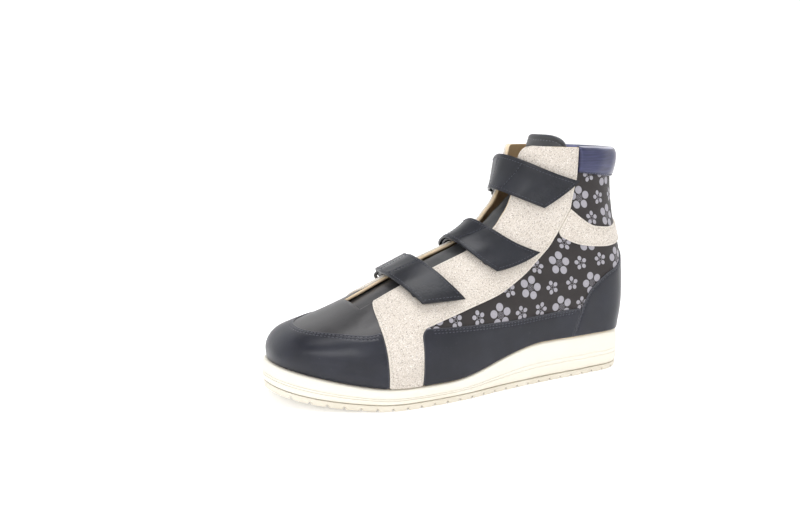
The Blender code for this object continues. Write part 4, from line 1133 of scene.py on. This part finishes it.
MIDSOLE_SIDE = [
    # height share, margin out from the ledge
    (0.00, -0.0016), (0.02, -0.0008), (0.05, -0.0002), (0.10, 0.0001), (0.20, 0.0003), (0.285, 0.0003),
    (0.305, 0.0001), (0.32, -0.0004), (0.335, 0.0001), (0.355, 0.0003), (0.40, 0.0003), (0.425, 0.0001),
    (0.44, -0.0004), (0.455, 0.0001), (0.475, 0.0002), (0.60, 0.0002), (0.74, 0.0000), (0.86, -0.0003),
    (0.93, -0.0007), (0.97, -0.0012), (1.00, -0.0022),
]


def midsole_height(share):
    """Height of one level of the midsole's side."""
    def height(x):
        bottom = floor_line(x) + OUTSOLE_THICKNESS + SEAT_GAP
        return bottom + (sole_top(x) - SOLE_GAP - bottom) * share
    return height


def foam(name, colour, old, rough):
    """Moulded foam or rubber: faint clouds, yellowing and dust low on the side, fine pits."""
    material, wires, inputs = finish_of(name)
    place = wires.place()
    height = wires.put("ShaderNodeSeparateXYZ", {0: place}).outputs[2]
    cloud = wires.noise(place, 45.0, 4.0, 0.6)
    specks = wires.rise(wires.noise(place, 700.0, 2.0, 0.7), 0.66, 0.78)
    low = wires.less(1.0, wires.rise(height, 0.001, 0.014))
    aged = wires.times(wires.add(wires.times(low, 0.7), 0.25), cloud)
    base = wires.mix(aged, (*colour, 1), (*old, 1))
    dust = wires.times(specks, wires.times(low, 0.25))
    base = wires.mix(dust, base, (0.35, 0.30, 0.24, 1))
    join(wires, base, inputs["Base Color"])
    join(wires, wires.add(wires.times(cloud, 0.15), rough), inputs["Roughness"])
    join(wires, bump_of(wires, wires.noise(place, 1800.0, 2.0, 0.6), 0.12, 0.0003), inputs["Normal"])
    return material


cream = foam("cream_foam", (0.80, 0.77, 0.69), (0.68, 0.61, 0.48), 0.45)
rubber = foam("cream_rubber", (0.76, 0.72, 0.63), (0.58, 0.52, 0.41), 0.6)
body = Body()
body.add(*slab([(sole_outline(margin), midsole_height(share)) for share, margin in MIDSOLE_SIDE]))
body.make("midsole_foam", [cream], ["midsole"], 60)

edge_pairs = sole_outline(-OUTSOLE_INSET)


def edges_at(x):
    """Left and right edge of the outsole at a station."""
    x = min(max(x, edge_pairs[-1][0].x), edge_pairs[0][0].x)
    found = []
    for side in (0, 1):
        table = sorted((pair[side].x, pair[side].y) for pair in edge_pairs)
        found.append(look_up(table, x))
    return found


back, front = edge_pairs[-1][0].x, edge_pairs[0][0].x
lug_count = round((front - back) / LUG_PITCH)
pitch = (front - back) / lug_count
stations = set()
LUG_SHARES = (0.0, 0.004, 0.02, 0.05, 0.10, 0.18, 0.3, 0.45, 0.6, 0.75, 0.87, 0.94, 0.98, 0.996, 1.0)
PLAIN_SHARES = (0.0, 0.05, 0.3, 0.6, 0.94, 1.0)
LUG_BEVEL = 0.0004
for number in range(lug_count):
    start, end = back + number * pitch, back + (number + 1) * pitch
    last_lug = number == lug_count - 1
    land = end if last_lug else end - GROOVE_WIDTH
    for share in LUG_SHARES:
        lift = 0.0
        if (share == 0.0 and number) or (share == 1.0 and not last_lug):
            lift = LUG_BEVEL
        if number in (0, lug_count - 1) or share in PLAIN_SHARES:
            stations.add((start + (land - start) * share, lift))
    if not last_lug:
        stations |= {(land + 0.0002, GROOVE_LIFT), (end - 0.0002, GROOVE_LIFT)}
points = []
for x, lift in sorted(stations):
    left, right = edges_at(x)
    low, high = floor_line(x) + lift, floor_line(x) + OUTSOLE_THICKNESS
    turn = min(0.0005, abs(left - right) / 6)
    ring = [(left - turn, low), (left, low + 0.0005), (left, high - 0.0002), (left - turn, high),
            (right + turn, high), (right, high - 0.0002), (right, low + 0.0005), (right + turn, low)]
    points += [Vector((x, y, z)) for y, z in ring]
faces = between(len(stations), 8)
faces += [list(range(8)), list(range(len(points) - 8, len(points)))]
body = Body()
body.add(points, faces)
body.make("outsole_rubber", [rubber], ["outsole"], 30)

INSOLE_INSET = 0.0034
INSOLE_SIDE = [(0.0002, -0.0004), (0.0008, 0.0), (0.0022, 0.0), (0.0027, -0.0004), (0.0030, -0.0012)]
body = Body()
body.add(*slab([(sole_outline(margin - INSOLE_INSET, False), lambda x, lift=lift: sole_top(x) + lift)
                for lift, margin in INSOLE_SIDE]))
body.make("insole_leather", [lining_leather], ["insole"])

# Tongue
# Padded tab of dark grey leather in the throat, sewn to the plug, bound round its top
# edge and stitched inside the binding. It lies under the straps and stands above the rim.
TONGUE_THICKNESS, TONGUE_CLEARANCE, TONGUE_LEAN = 0.0030, 0.0013, 0.0145
TONGUE_HALF, TONGUE_TOP_HALF, TONGUE_SHOULDER = 0.0300, 0.0470, 1.3
TONGUE_START, TONGUE_END = ROW["throat"] - 0.6, ROW["above"] - 0.25
TONGUE_ROWS, TONGUE_SHARES = 190, 60


def tongue_place(row, share):
    """Point of the tongue's outer face, share -1 to 1 across its width."""
    rise = smooth_step(ROW["ball"], ROW["rim"], row)
    half = TONGUE_HALF + (TONGUE_TOP_HALF - TONGUE_HALF) * rise
    shaft = max(row - ROW["ankle"], 0.0) / (TONGUE_END - ROW["ankle"])
    row -= TONGUE_SHOULDER * shaft ** 2 * abs(share) ** 3
    point = skin(row, half * share) - outward(row, half * share) * (WALL + TONGUE_CLEARANCE)
    point.x -= TONGUE_LEAN * rise * (1 - share * share)
    return point


def grid_normals(grid):
    """Normals of a grid of places, by its own lines."""
    normals = []
    for at, line in enumerate(grid):
        before, after = grid[max(at - 1, 0)], grid[min(at + 1, len(grid) - 1)]
        normals.append([])
        for number in range(len(line)):
            ahead = after[number] - before[number]
            beside = line[min(number + 1, len(line) - 1)] - line[max(number - 1, 0)]
            normals[-1].append(ahead.cross(beside).normalized())
    return normals


def sheet_of(body, grid, normals, half, marks=None, cloth=None, lift=None):
    """Closed sheet about a grid of places, its half thickness and lift read by place."""
    wide, deep = len(grid[0]), len(grid)
    tops, bottoms, faces, kinds, laid, edges = [], [], [], [], [], []
    for at in range(deep):
        for number in range(wide):
            thick, raise_by = half(at, number), lift(at, number) if lift else 0.0
            tops.append(grid[at][number] + normals[at][number] * (thick + raise_by))
            bottoms.append(grid[at][number] - normals[at][number] * (thick - raise_by * 0.2))
            laid.append(cloth(at, number) if cloth else Vector((0, 0, 0)))
    size = wide * deep
    for at in range(deep - 1):
        for number in range(wide - 1):
            first = at * wide + number
            face = [first, first + 1, first + wide + 1, first + wide]
            kind = marks(at, number) if marks else 0
            faces += [face, [size + corner for corner in face[::-1]]]
            kinds += [kind, kind]
    rim = list(range(wide)) + [at * wide + wide - 1 for at in range(1, deep)]
    rim += list(range(size - 2, size - wide - 1, -1)) + [at * wide for at in range(deep - 2, 0, -1)]
    for a, b in zip(rim, rim[1:] + rim[:1]):
        faces.append([b, a, size + a, size + b])
        kinds.append(marks(min(a // wide, deep - 2), min(a % wide, wide - 2)) if marks else 0)
    body.add(tops + bottoms, faces, kinds, laid + laid)


def rounding(gap, full, radius):
    """Half thickness at a distance inside an edge that is rounded."""
    if gap >= radius:
        return full
    return full * (0.25 + 0.75 * math.sqrt(max(1 - (1 - gap / radius) ** 2, 0.0)))


tongue_leather = leather("tongue_leather", (0.030, 0.031, 0.034), (0.052, 0.053, 0.056), 0.46, 1200.0, 0.22)
binding = leather("binding_leather", (0.020, 0.022, 0.030), (0.035, 0.037, 0.048), 0.42, 1500.0, 0.15)
rows = [TONGUE_START + (TONGUE_END - TONGUE_START) * step / TONGUE_ROWS
        for step in range(TONGUE_ROWS + 1)]
across_shares = [math.sin(math.pi / 2 * (2 * step / TONGUE_SHARES - 1))
                 for step in range(TONGUE_SHARES + 1)]
grid = [[tongue_place(row, share) for share in across_shares] for row in rows]
normals = grid_normals(grid)
if normals[TONGUE_ROWS // 3][TONGUE_SHARES // 2].z < 0:
    normals = [[-normal for normal in line] for line in normals]
middle_line = [line[TONGUE_SHARES // 2] for line in grid]
run = [0.0]
for a, b in zip(middle_line, middle_line[1:]):
    run.append(run[-1] + (b - a).length)


def tongue_gap(at, number):
    """Distance inside the tongue's edge."""
    line = grid[at]
    return min((line[number] - line[0]).length, (line[number] - line[-1]).length, run[-1] - run[at])


PADDING, THROAT_PADDING, FOLD_HEIGHT = 0.0007, 0.0005, 0.0003
TONGUE_SEAM, SEAM_DEPTH, SEAM_HALF = 0.0040, 0.0005, 0.0007
IN_THROAT = 0.28            # share of the half width that no flap covers


def tongue_lift(at, number):
    """Padding between the seams, free where no flap lies over it."""
    free = smooth_step(ROW["rim"] - 0.3, ROW["rim"] + 0.2, rows[at])
    gap = tongue_gap(at, number)
    pressed = math.exp(-((gap - TONGUE_SEAM) / SEAM_HALF) ** 2)
    soft = PADDING * free * smooth_step(0.0042, 0.012, gap) - SEAM_DEPTH * free * pressed
    if rows[at] < ROW["cuff"] and abs(across_shares[number]) < IN_THROAT:
        open_share = 1 - (across_shares[number] / IN_THROAT) ** 2
        soft += THROAT_PADDING * open_share
        fold = math.sin(run[at] * 1000 / 6.0) * math.sin(run[at] * 1000 / 17.0 + 1.0)
        soft += FOLD_HEIGHT * fold * open_share
    return soft


def tongue_kind(at, number):
    """Dark grey leather, the plug's leather at its foot and a binding along its top edge."""
    gap = tongue_gap(at, number)
    if rows[at] > ROW["cuff"] and gap < 0.0022:
        return 1
    return 3 if rows[at] < ROW["throat"] + 0.9 else 0


body = Body()
sheet_of(body, grid, normals,
         lambda at, number: rounding(tongue_gap(at, number), TONGUE_THICKNESS / 2, 0.0016),
         tongue_kind, None, tongue_lift)
shift = TONGUE_THICKNESS / 2
body.points = [point - normal * shift for point, normal in zip(
    body.points, [normal for line in normals for normal in line] * 2)]
border = []
at = next(at for at in range(TONGUE_ROWS, 0, -1) if run[-1] - run[at] >= TONGUE_SEAM)
for number in range(3, TONGUE_SHARES - 2):
    normal = normals[at][number]
    border.append((grid[at][number] + normal * (tongue_lift(at, number) - 0.00005), normal))
sew(body, border, 2)
piece = body.make("tongue_pad", [tongue_leather, binding, grey_thread, plug_leather],
                  ["tongue"])

# Collar pad
# Foam band covered in metallic blue leather, folded over the back of the collar and sewn
# along its lower edge, thickest at the middle of its height.
PAD_STEPS = 96
PAD_THIN, PAD_NEAR = 0.0016, 0.0020         # least thickness, and what counts as padding
PAD_BACK_LESS, PAD_WAVE = 0.30, 0.00018
PAD_SHELL = [
    # row and distance out from the middle of the upper's wall, once round the section
    (14.02, 0.0019), (14.05, 0.0030), (14.15, 0.0041), (14.30, 0.0050), (14.48, 0.0056), (14.66, 0.0055),
    (14.82, 0.0048), (14.94, 0.0037), (15.02, 0.0022), (15.07, 0.0004), (15.07, -0.0014), (15.02, -0.0030),
    (14.92, -0.0042), (14.75, -0.0049), (14.55, -0.0046), (14.40, -0.0038), (14.33, -0.0024),
    (14.50, -0.0014), (14.75, -0.0014), (14.94, -0.0014), (15.00, -0.0004), (15.00, 0.0008),
    (14.94, 0.0015), (14.75, 0.0015), (14.50, 0.0015), (14.25, 0.0015),
]
metallic, wires, inputs = finish_of("metallic_leather", {"Coat Weight": 0.3, "Coat Roughness": 0.25})
place = wires.place()
grained = wires.group(leather_group, Place=place, Size=1300.0)
drawn_out = wires.put("ShaderNodeVectorMath", {0: place, 1: (60.0, 60.0, 900.0)},
                      operation='MULTIPLY').outputs[0]
brushed = wires.noise(drawn_out, 1.0, 3.0, 0.6)
base = wires.mix(brushed, (0.008, 0.009, 0.022, 1), (0.070, 0.075, 0.170, 1))
join(wires, base, inputs["Base Color"])
join(wires, wires.add(wires.times(brushed, 0.2), 0.50), inputs["Metallic"])
join(wires, wires.add(wires.times(grained["Cloud"], 0.2), 0.26), inputs["Roughness"])
join(wires, bump_of(wires, grained["Height"], 0.15, 0.0003), inputs["Normal"])


def across_at(row, x):
    """Distance from the ridge at which the upper's face passes a station."""
    low, high = 0.0, girth(row)
    for _ in range(24):
        middle = (low + high) / 2
        if skin(row, middle).x > x:
            low = middle
        else:
            high = middle
    return low


points, pad_line = [], []
for step in range(-PAD_STEPS, PAD_STEPS + 1):
    share = step / PAD_STEPS
    for number, (row, out) in enumerate(PAD_SHELL):
        whole, end = girth(row), across_at(row, SEAMS["canvas_rear"][-1][0] * LENGTH - 0.0004)
        across = math.copysign(whole - (whole - end) * abs(share), share)
        normal = outward(row, across)
        if step == 0:
            normal = Vector((normal.x, 0, normal.z)).normalized()
        if abs(out) >= PAD_NEAR:
            less = 1 - PAD_BACK_LESS * (1 - abs(share)) if out > PAD_NEAR else 1.0
            close = math.sqrt(max(1 - abs(share) ** 24, 0.0))
            full = PAD_THIN + (abs(out) - PAD_THIN) * less * (0.35 + 0.65 * close)
            out = math.copysign(full, out) + (
                PAD_WAVE * math.sin(share * 23 + 2 * row) if abs(out) > 0.003 else 0)
        middle = skin(row, across) - normal * (WALL / 2)
        points.append(middle + normal * out)
        if number == 1:
            pad_line.append((points[-1], normal))
size = len(PAD_SHELL)
faces = between(2 * PAD_STEPS + 1, size)
faces += [list(range(size)), list(range(len(points) - size, len(points)))]
body = Body()
body.add(points, faces)
sew(body, pad_line, 1)
piece = body.make("collar_padding", [metallic, navy_thread], ["collar_pad"], 60)

# Straps, rings and tabs
# Each leather strap rises out of the outer flap, runs round a black wire ring held by a
# tab on the inner flap, and folds back over itself onto the hook tape.
STRAP_WIDTH, STRAP_THICKNESS = 0.0250, 0.0018
STRAP_LOWER, STRAP_UPPER, STRAP_SLIT = 0.00305, 0.00535, 0.0300
RING_WIRE, RING_LENGTH, RING_WIDTH, RING_CORNER = 0.0027, 0.0315, 0.0120, 0.0022
RING_STAND, RING_TILT, RING_FIT, RING_EASE = 0.0064, 15.0, 0.0003, 0.0120
TAB_WIDTH, TAB_THICKNESS, TAB_REACH, TAB_HEIGHT = 0.0200, 0.0012, 0.0065, 0.0025
STRAPS = [
    # name, rows of the last at the ring, ridge and end, then in strap widths from the
    # ridge to the ring and to the end, and the slant of the end on each side
    ("low", 4.83, 4.73, 4.95, 1.04, 1.72, 0.29),
    ("middle", 6.35, 6.17, 7.04, 0.96, 1.81, 0.43),
    ("high", 12.95, 12.70, 12.70, 0.88, 1.78, 0.34),
]
HALF = STRAP_WIDTH / 2
TURN = RING_WIRE / 2 + RING_FIT + STRAP_THICKNESS / 2
TAB_TURN = RING_WIRE / 2 + RING_FIT + TAB_THICKNESS / 2
UPPER_STEPS, FOLD_STEPS, LOWER_STEPS, STRAP_SHARES = 60, 8, 24, 18
WIRE_SIDES = 14
CROSS_SEAMS = (0.52, 0.75)
STRAP_SEAM = 0.0021         # from a strap's edge to its stitches


def slopes(row, across):
    """How a place of the upper's face moves with its row and with its distance across."""
    by_row = (skin(row + 0.01, across) - skin(row - 0.01, across)) / 0.02
    by_across = skin(row, across + 0.0004) - skin(row, across - 0.0004)
    return by_row, by_across / 0.0008


def beside_of(row, across, move):
    """Row and distance across after a move along the upper's face, in small steps."""
    for _ in range(4):
        by_row, by_across = slopes(row, across)
        a, b, c = by_row.dot(by_row), by_row.dot(by_across), by_across.dot(by_across)
        e, f = by_row.dot(move) / 4, by_across.dot(move) / 4
        scale = a * c - b * b
        row, across = row + (e * c - f * b) / scale, across + (a * f - b * e) / scale
    return row, across


class Strap:
    """Places on and above the upper along one strap."""

    def __init__(self, table_row):
        self.name, self.at_ring, self.at_ridge, self.at_end = table_row[:4]
        self.ring, self.end, self.slant = [share * STRAP_WIDTH for share in table_row[4:]]
        row = self.row(-self.ring)
        self.normal = outward(row, -self.ring)
        self.away = -self.direction(-self.ring)
        self.aside = self.across_strap(-self.ring)
        self.bar = skin(row, -self.ring) + self.normal * RING_STAND
        lean = math.radians(RING_TILT)
        self.lie = self.away * math.cos(lean) - self.normal * math.sin(lean)

    def row(self, across):
        """Row of the last under the middle line: a parabola through ring, ridge and end."""
        a, b = -self.ring, self.end
        return (self.at_ring * across * (across - b) / (a * (a - b))
                + self.at_ridge * (across - a) * (across - b) / (a * b)
                + self.at_end * (across - a) * across / ((b - a) * b))

    def direction(self, across):
        """Direction of the middle line towards the strap's end."""
        ahead = skin(self.row(across + 0.001), across + 0.001)
        return (ahead - skin(self.row(across - 0.001), across - 0.001)).normalized()

    def across_strap(self, across):
        """Direction from the strap's front edge to its rear edge."""
        sideways = outward(self.row(across), across).cross(self.direction(across)).normalized()
        return sideways if sideways.x < 0 else -sideways

    def over(self, across, aside, height):
        """Place above the upper's face, aside of the middle line."""
        row, place = beside_of(self.row(across), across, self.across_strap(across) * aside)
        return skin(row, place) + outward(row, place) * height

    def near_ring(self, away, aside, height):
        """Place above the upper's face, squarely off the foot of the ring's bar."""
        move = self.away * away + self.aside * aside
        row, place = beside_of(self.row(-self.ring), -self.ring, move)
        return skin(row, place) + outward(row, place) * height

    def flat(self, away, up, aside):
        """Place in the ring's frame, from the middle of its strap-side bar."""
        return self.bar + self.away * away + self.normal * up + self.aside * aside

    def layer(self, across, aside, height, up):
        """Place of a layer that eases from the upper's face into the ring's frame."""
        near = 1 - smooth_step(0.0, RING_EASE, across + self.ring)
        face = self.over(across, aside, height)
        return face.lerp(self.flat(-(across + self.ring), up, aside), near) if near > 0 else face

    def line(self, share):
        """Middle of the strap along its length at one place of its width."""
        aside, end = HALF * share, self.end + self.slant * share
        points = []
        for step in range(UPPER_STEPS + 1):
            across = end - (end + self.ring) * step / UPPER_STEPS
            points.append(self.layer(across, aside, STRAP_UPPER, TURN))
        for step in range(1, FOLD_STEPS):
            turned = math.radians(90 - 180 * step / FOLD_STEPS)
            points.append(self.flat(TURN * math.cos(turned), TURN * math.sin(turned), aside))
        for step in range(LOWER_STEPS + 1):
            across = -self.ring + (STRAP_SLIT + self.ring) * step / LOWER_STEPS
            dive = smooth_step(STRAP_SLIT - 0.005, STRAP_SLIT, across) * (STRAP_LOWER + 0.0006)
            narrow = 1 - 0.09 * smooth_step(-self.ring, -self.ring + 0.012, across)
            points.append(self.layer(across, aside * narrow, STRAP_LOWER - dive, -TURN))
        return points


strap_leather = leather("strap_leather", (0.0055, 0.0064, 0.0105), (0.0115, 0.0128, 0.0195),
                        0.36, 700.0, 0.16,
                        {"Coat Weight": 0.05, "Coat Roughness": 0.25, "Specular IOR Level": 0.36},
                        0.2, (0.012, 0.020, 0.75))
ring_black, wires, inputs = finish_of("black_wire", {"Coat Weight": 0.8, "Coat Roughness": 0.08})
chips = wires.noise(wires.place(), 500.0, 3.0, 0.6)
chipped = wires.mix(wires.rise(chips, 0.66, 0.75), (0.008, 0.008, 0.010, 1), (0.05, 0.05, 0.055, 1))
join(wires, chipped, inputs["Base Color"])
join(wires, wires.add(wires.times(chips, 0.15), 0.12), inputs["Roughness"])
join(wires, bump_of(wires, chips, 0.05, 0.0003), inputs["Normal"])
shares = [math.copysign(1 - (1 - abs(2 * step / STRAP_SHARES - 1)) ** 1.6, 2 * step / STRAP_SHARES - 1)
          for step in range(STRAP_SHARES + 1)]
for table_row in STRAPS:
    strap = Strap(table_row)
    lines = [strap.line(share) for share in shares]
    grid = [list(line) for line in zip(*lines)]
    normals = grid_normals(grid)
    if normals[UPPER_STEPS // 2][STRAP_SHARES // 2].dot(outward(strap.row(0.0), 0.0)) < 0:
        normals = [[-normal for normal in line] for line in normals]
    length = [0.0]
    for a, b in zip(grid, grid[1:]):
        length.append(length[-1] + (b[STRAP_SHARES // 2] - a[STRAP_SHARES // 2]).length)

    def strap_half(at, number):
        """Half thickness, thinner towards the edges and pressed along the seams."""
        gap = min(HALF * (1 - abs(shares[number])), length[at] + 0.0003)
        pressed = 0.00012 * math.exp(-((gap - STRAP_SEAM) / 0.0005) ** 2)
        for part in CROSS_SEAMS:
            away = length[at] - length[round(UPPER_STEPS * part)]
            pressed += 0.00022 * math.exp(-(away / 0.0007) ** 2)
        return rounding(gap, STRAP_THICKNESS / 2, 0.0010) - pressed

    def strap_lift(at, number):
        """Soft waves across a worn strap, only where nothing lies close."""
        if at > UPPER_STEPS - 6:
            return 0.0
        fade = smooth_step(0.004, 0.012, length[at])
        return 0.00022 * fade * math.sin(length[at] * 1000 / 3.4) * math.sin(length[at] * 1000 / 9.0)

    body = Body()
    sheet_of(body, grid, normals, strap_half, None,
             lambda at, number: Vector((length[at], shares[number] * HALF, 0)), strap_lift)

    def strap_top(at, share):
        """Place and normal on the strap's outer face."""
        where = min(range(len(shares)), key=lambda number: abs(shares[number] - share))
        after = where + 1 if shares[where] < share and where + 1 < len(shares) else where - 1
        mixed = (share - shares[where]) / (shares[after] - shares[where])
        place = grid[at][where].lerp(grid[at][after], mixed)
        normal = normals[at][where]
        return place + normal * (STRAP_THICKNESS / 2 + strap_lift(at, where)), normal

    margin = 1 - STRAP_SEAM / HALF
    for side in (-1, 1):
        sew(body, [strap_top(at, side * margin) for at in range(3, UPPER_STEPS + 1)], 1, FINE_THREAD)
        under = range(UPPER_STEPS + FOLD_STEPS + 8, UPPER_STEPS + FOLD_STEPS + LOWER_STEPS - 3)
        lower = [(place - normal * STRAP_THICKNESS, -normal) for place, normal in (
            strap_top(at, side * margin) for at in under)]
        sew(body, lower, 2, FINE_THREAD)
    cross = [margin * (step / 8 - 1) for step in range(17)]
    sew(body, [strap_top(2, share) for share in cross], 1, FINE_THREAD)
    for part in CROSS_SEAMS:
        at = round(UPPER_STEPS * part)
        sew(body, [strap_top(at, share) for share in cross], 1, FINE_THREAD)
    body.make("leather_strap_" + strap.name, [strap_leather, navy_thread, pale_thread],
              ["strap_" + strap.name])

    far, half = RING_WIDTH - RING_WIRE, (RING_LENGTH - RING_WIRE) / 2
    middle_line = []
    for side_away, side_aside, start in ((1, 1, 0), (0, 1, 90), (0, -1, 180), (1, -1, 270)):
        centre_away = far - RING_CORNER if side_away else RING_CORNER
        for step in range(7):
            turned = math.radians(start + 15 * step)
            away = centre_away + RING_CORNER * math.cos(turned)
            aside = side_aside * (half - RING_CORNER) + RING_CORNER * math.sin(turned)
            middle_line.append(strap.bar + strap.lie * away + strap.aside * aside)
    level = strap.lie.cross(strap.aside).normalized()
    points, faces = [], []
    count = len(middle_line)
    for at, place in enumerate(middle_line):
        ahead = (middle_line[(at + 1) % count] - middle_line[at - 1]).normalized()
        beside = level.cross(ahead).normalized()
        here, next_ring = at * WIRE_SIDES, (at + 1) % count * WIRE_SIDES
        for corner in range(WIRE_SIDES):
            turned, after = math.tau * corner / WIRE_SIDES, (corner + 1) % WIRE_SIDES
            spoke = level * math.sin(turned) + beside * math.cos(turned)
            points.append(place + spoke * (RING_WIRE / 2))
            faces.append([here + corner, here + after, next_ring + after, next_ring + corner])
    body = Body()
    body.add(points, faces)
    body.make("wire_ring_" + strap.name, [ring_black], ["ring_" + strap.name], 80)

    tab_shares = [2 * step / 12 - 1 for step in range(13)]
    slit = RING_WIDTH - RING_WIRE + TAB_REACH
    lines = []
    for share in tab_shares:
        aside = TAB_WIDTH / 2 * share
        bar = strap.bar + strap.lie * (RING_WIDTH - RING_WIRE) + strap.aside * aside
        foot = strap.near_ring(slit, aside, TAB_HEIGHT)
        head = strap.near_ring(slit, aside, TAB_HEIGHT + TAB_THICKNESS + RING_FIT)
        arc = []
        for angle in range(240, 59, -12):
            turned = math.radians(angle)
            arc.append(bar + (strap.away * math.cos(turned) + strap.normal * math.sin(turned)) * TAB_TURN)
        lines.append([foot.lerp(arc[0], step / 5) for step in range(5)] + arc
                     + [arc[-1].lerp(head, step / 6) for step in range(1, 7)])
    grid = [list(line) for line in zip(*lines)]
    normals = grid_normals(grid)
    body = Body()
    tab_gaps = [TAB_WIDTH / 2 * (1 - abs(share)) for share in tab_shares]
    sheet_of(body, grid, normals,
             lambda at, number: rounding(tab_gaps[number], TAB_THICKNESS / 2, 0.0006))
    top = [grid[-3][number] for number in range(2, 11)]
    over = strap.normal * (TAB_THICKNESS / 2)
    sew(body, [(place + over, strap.normal) for place in top], 1, FINE_THREAD)
    body.make("leather_tab_" + strap.name, [strap_leather, navy_thread],
              ["tab_" + strap.name])
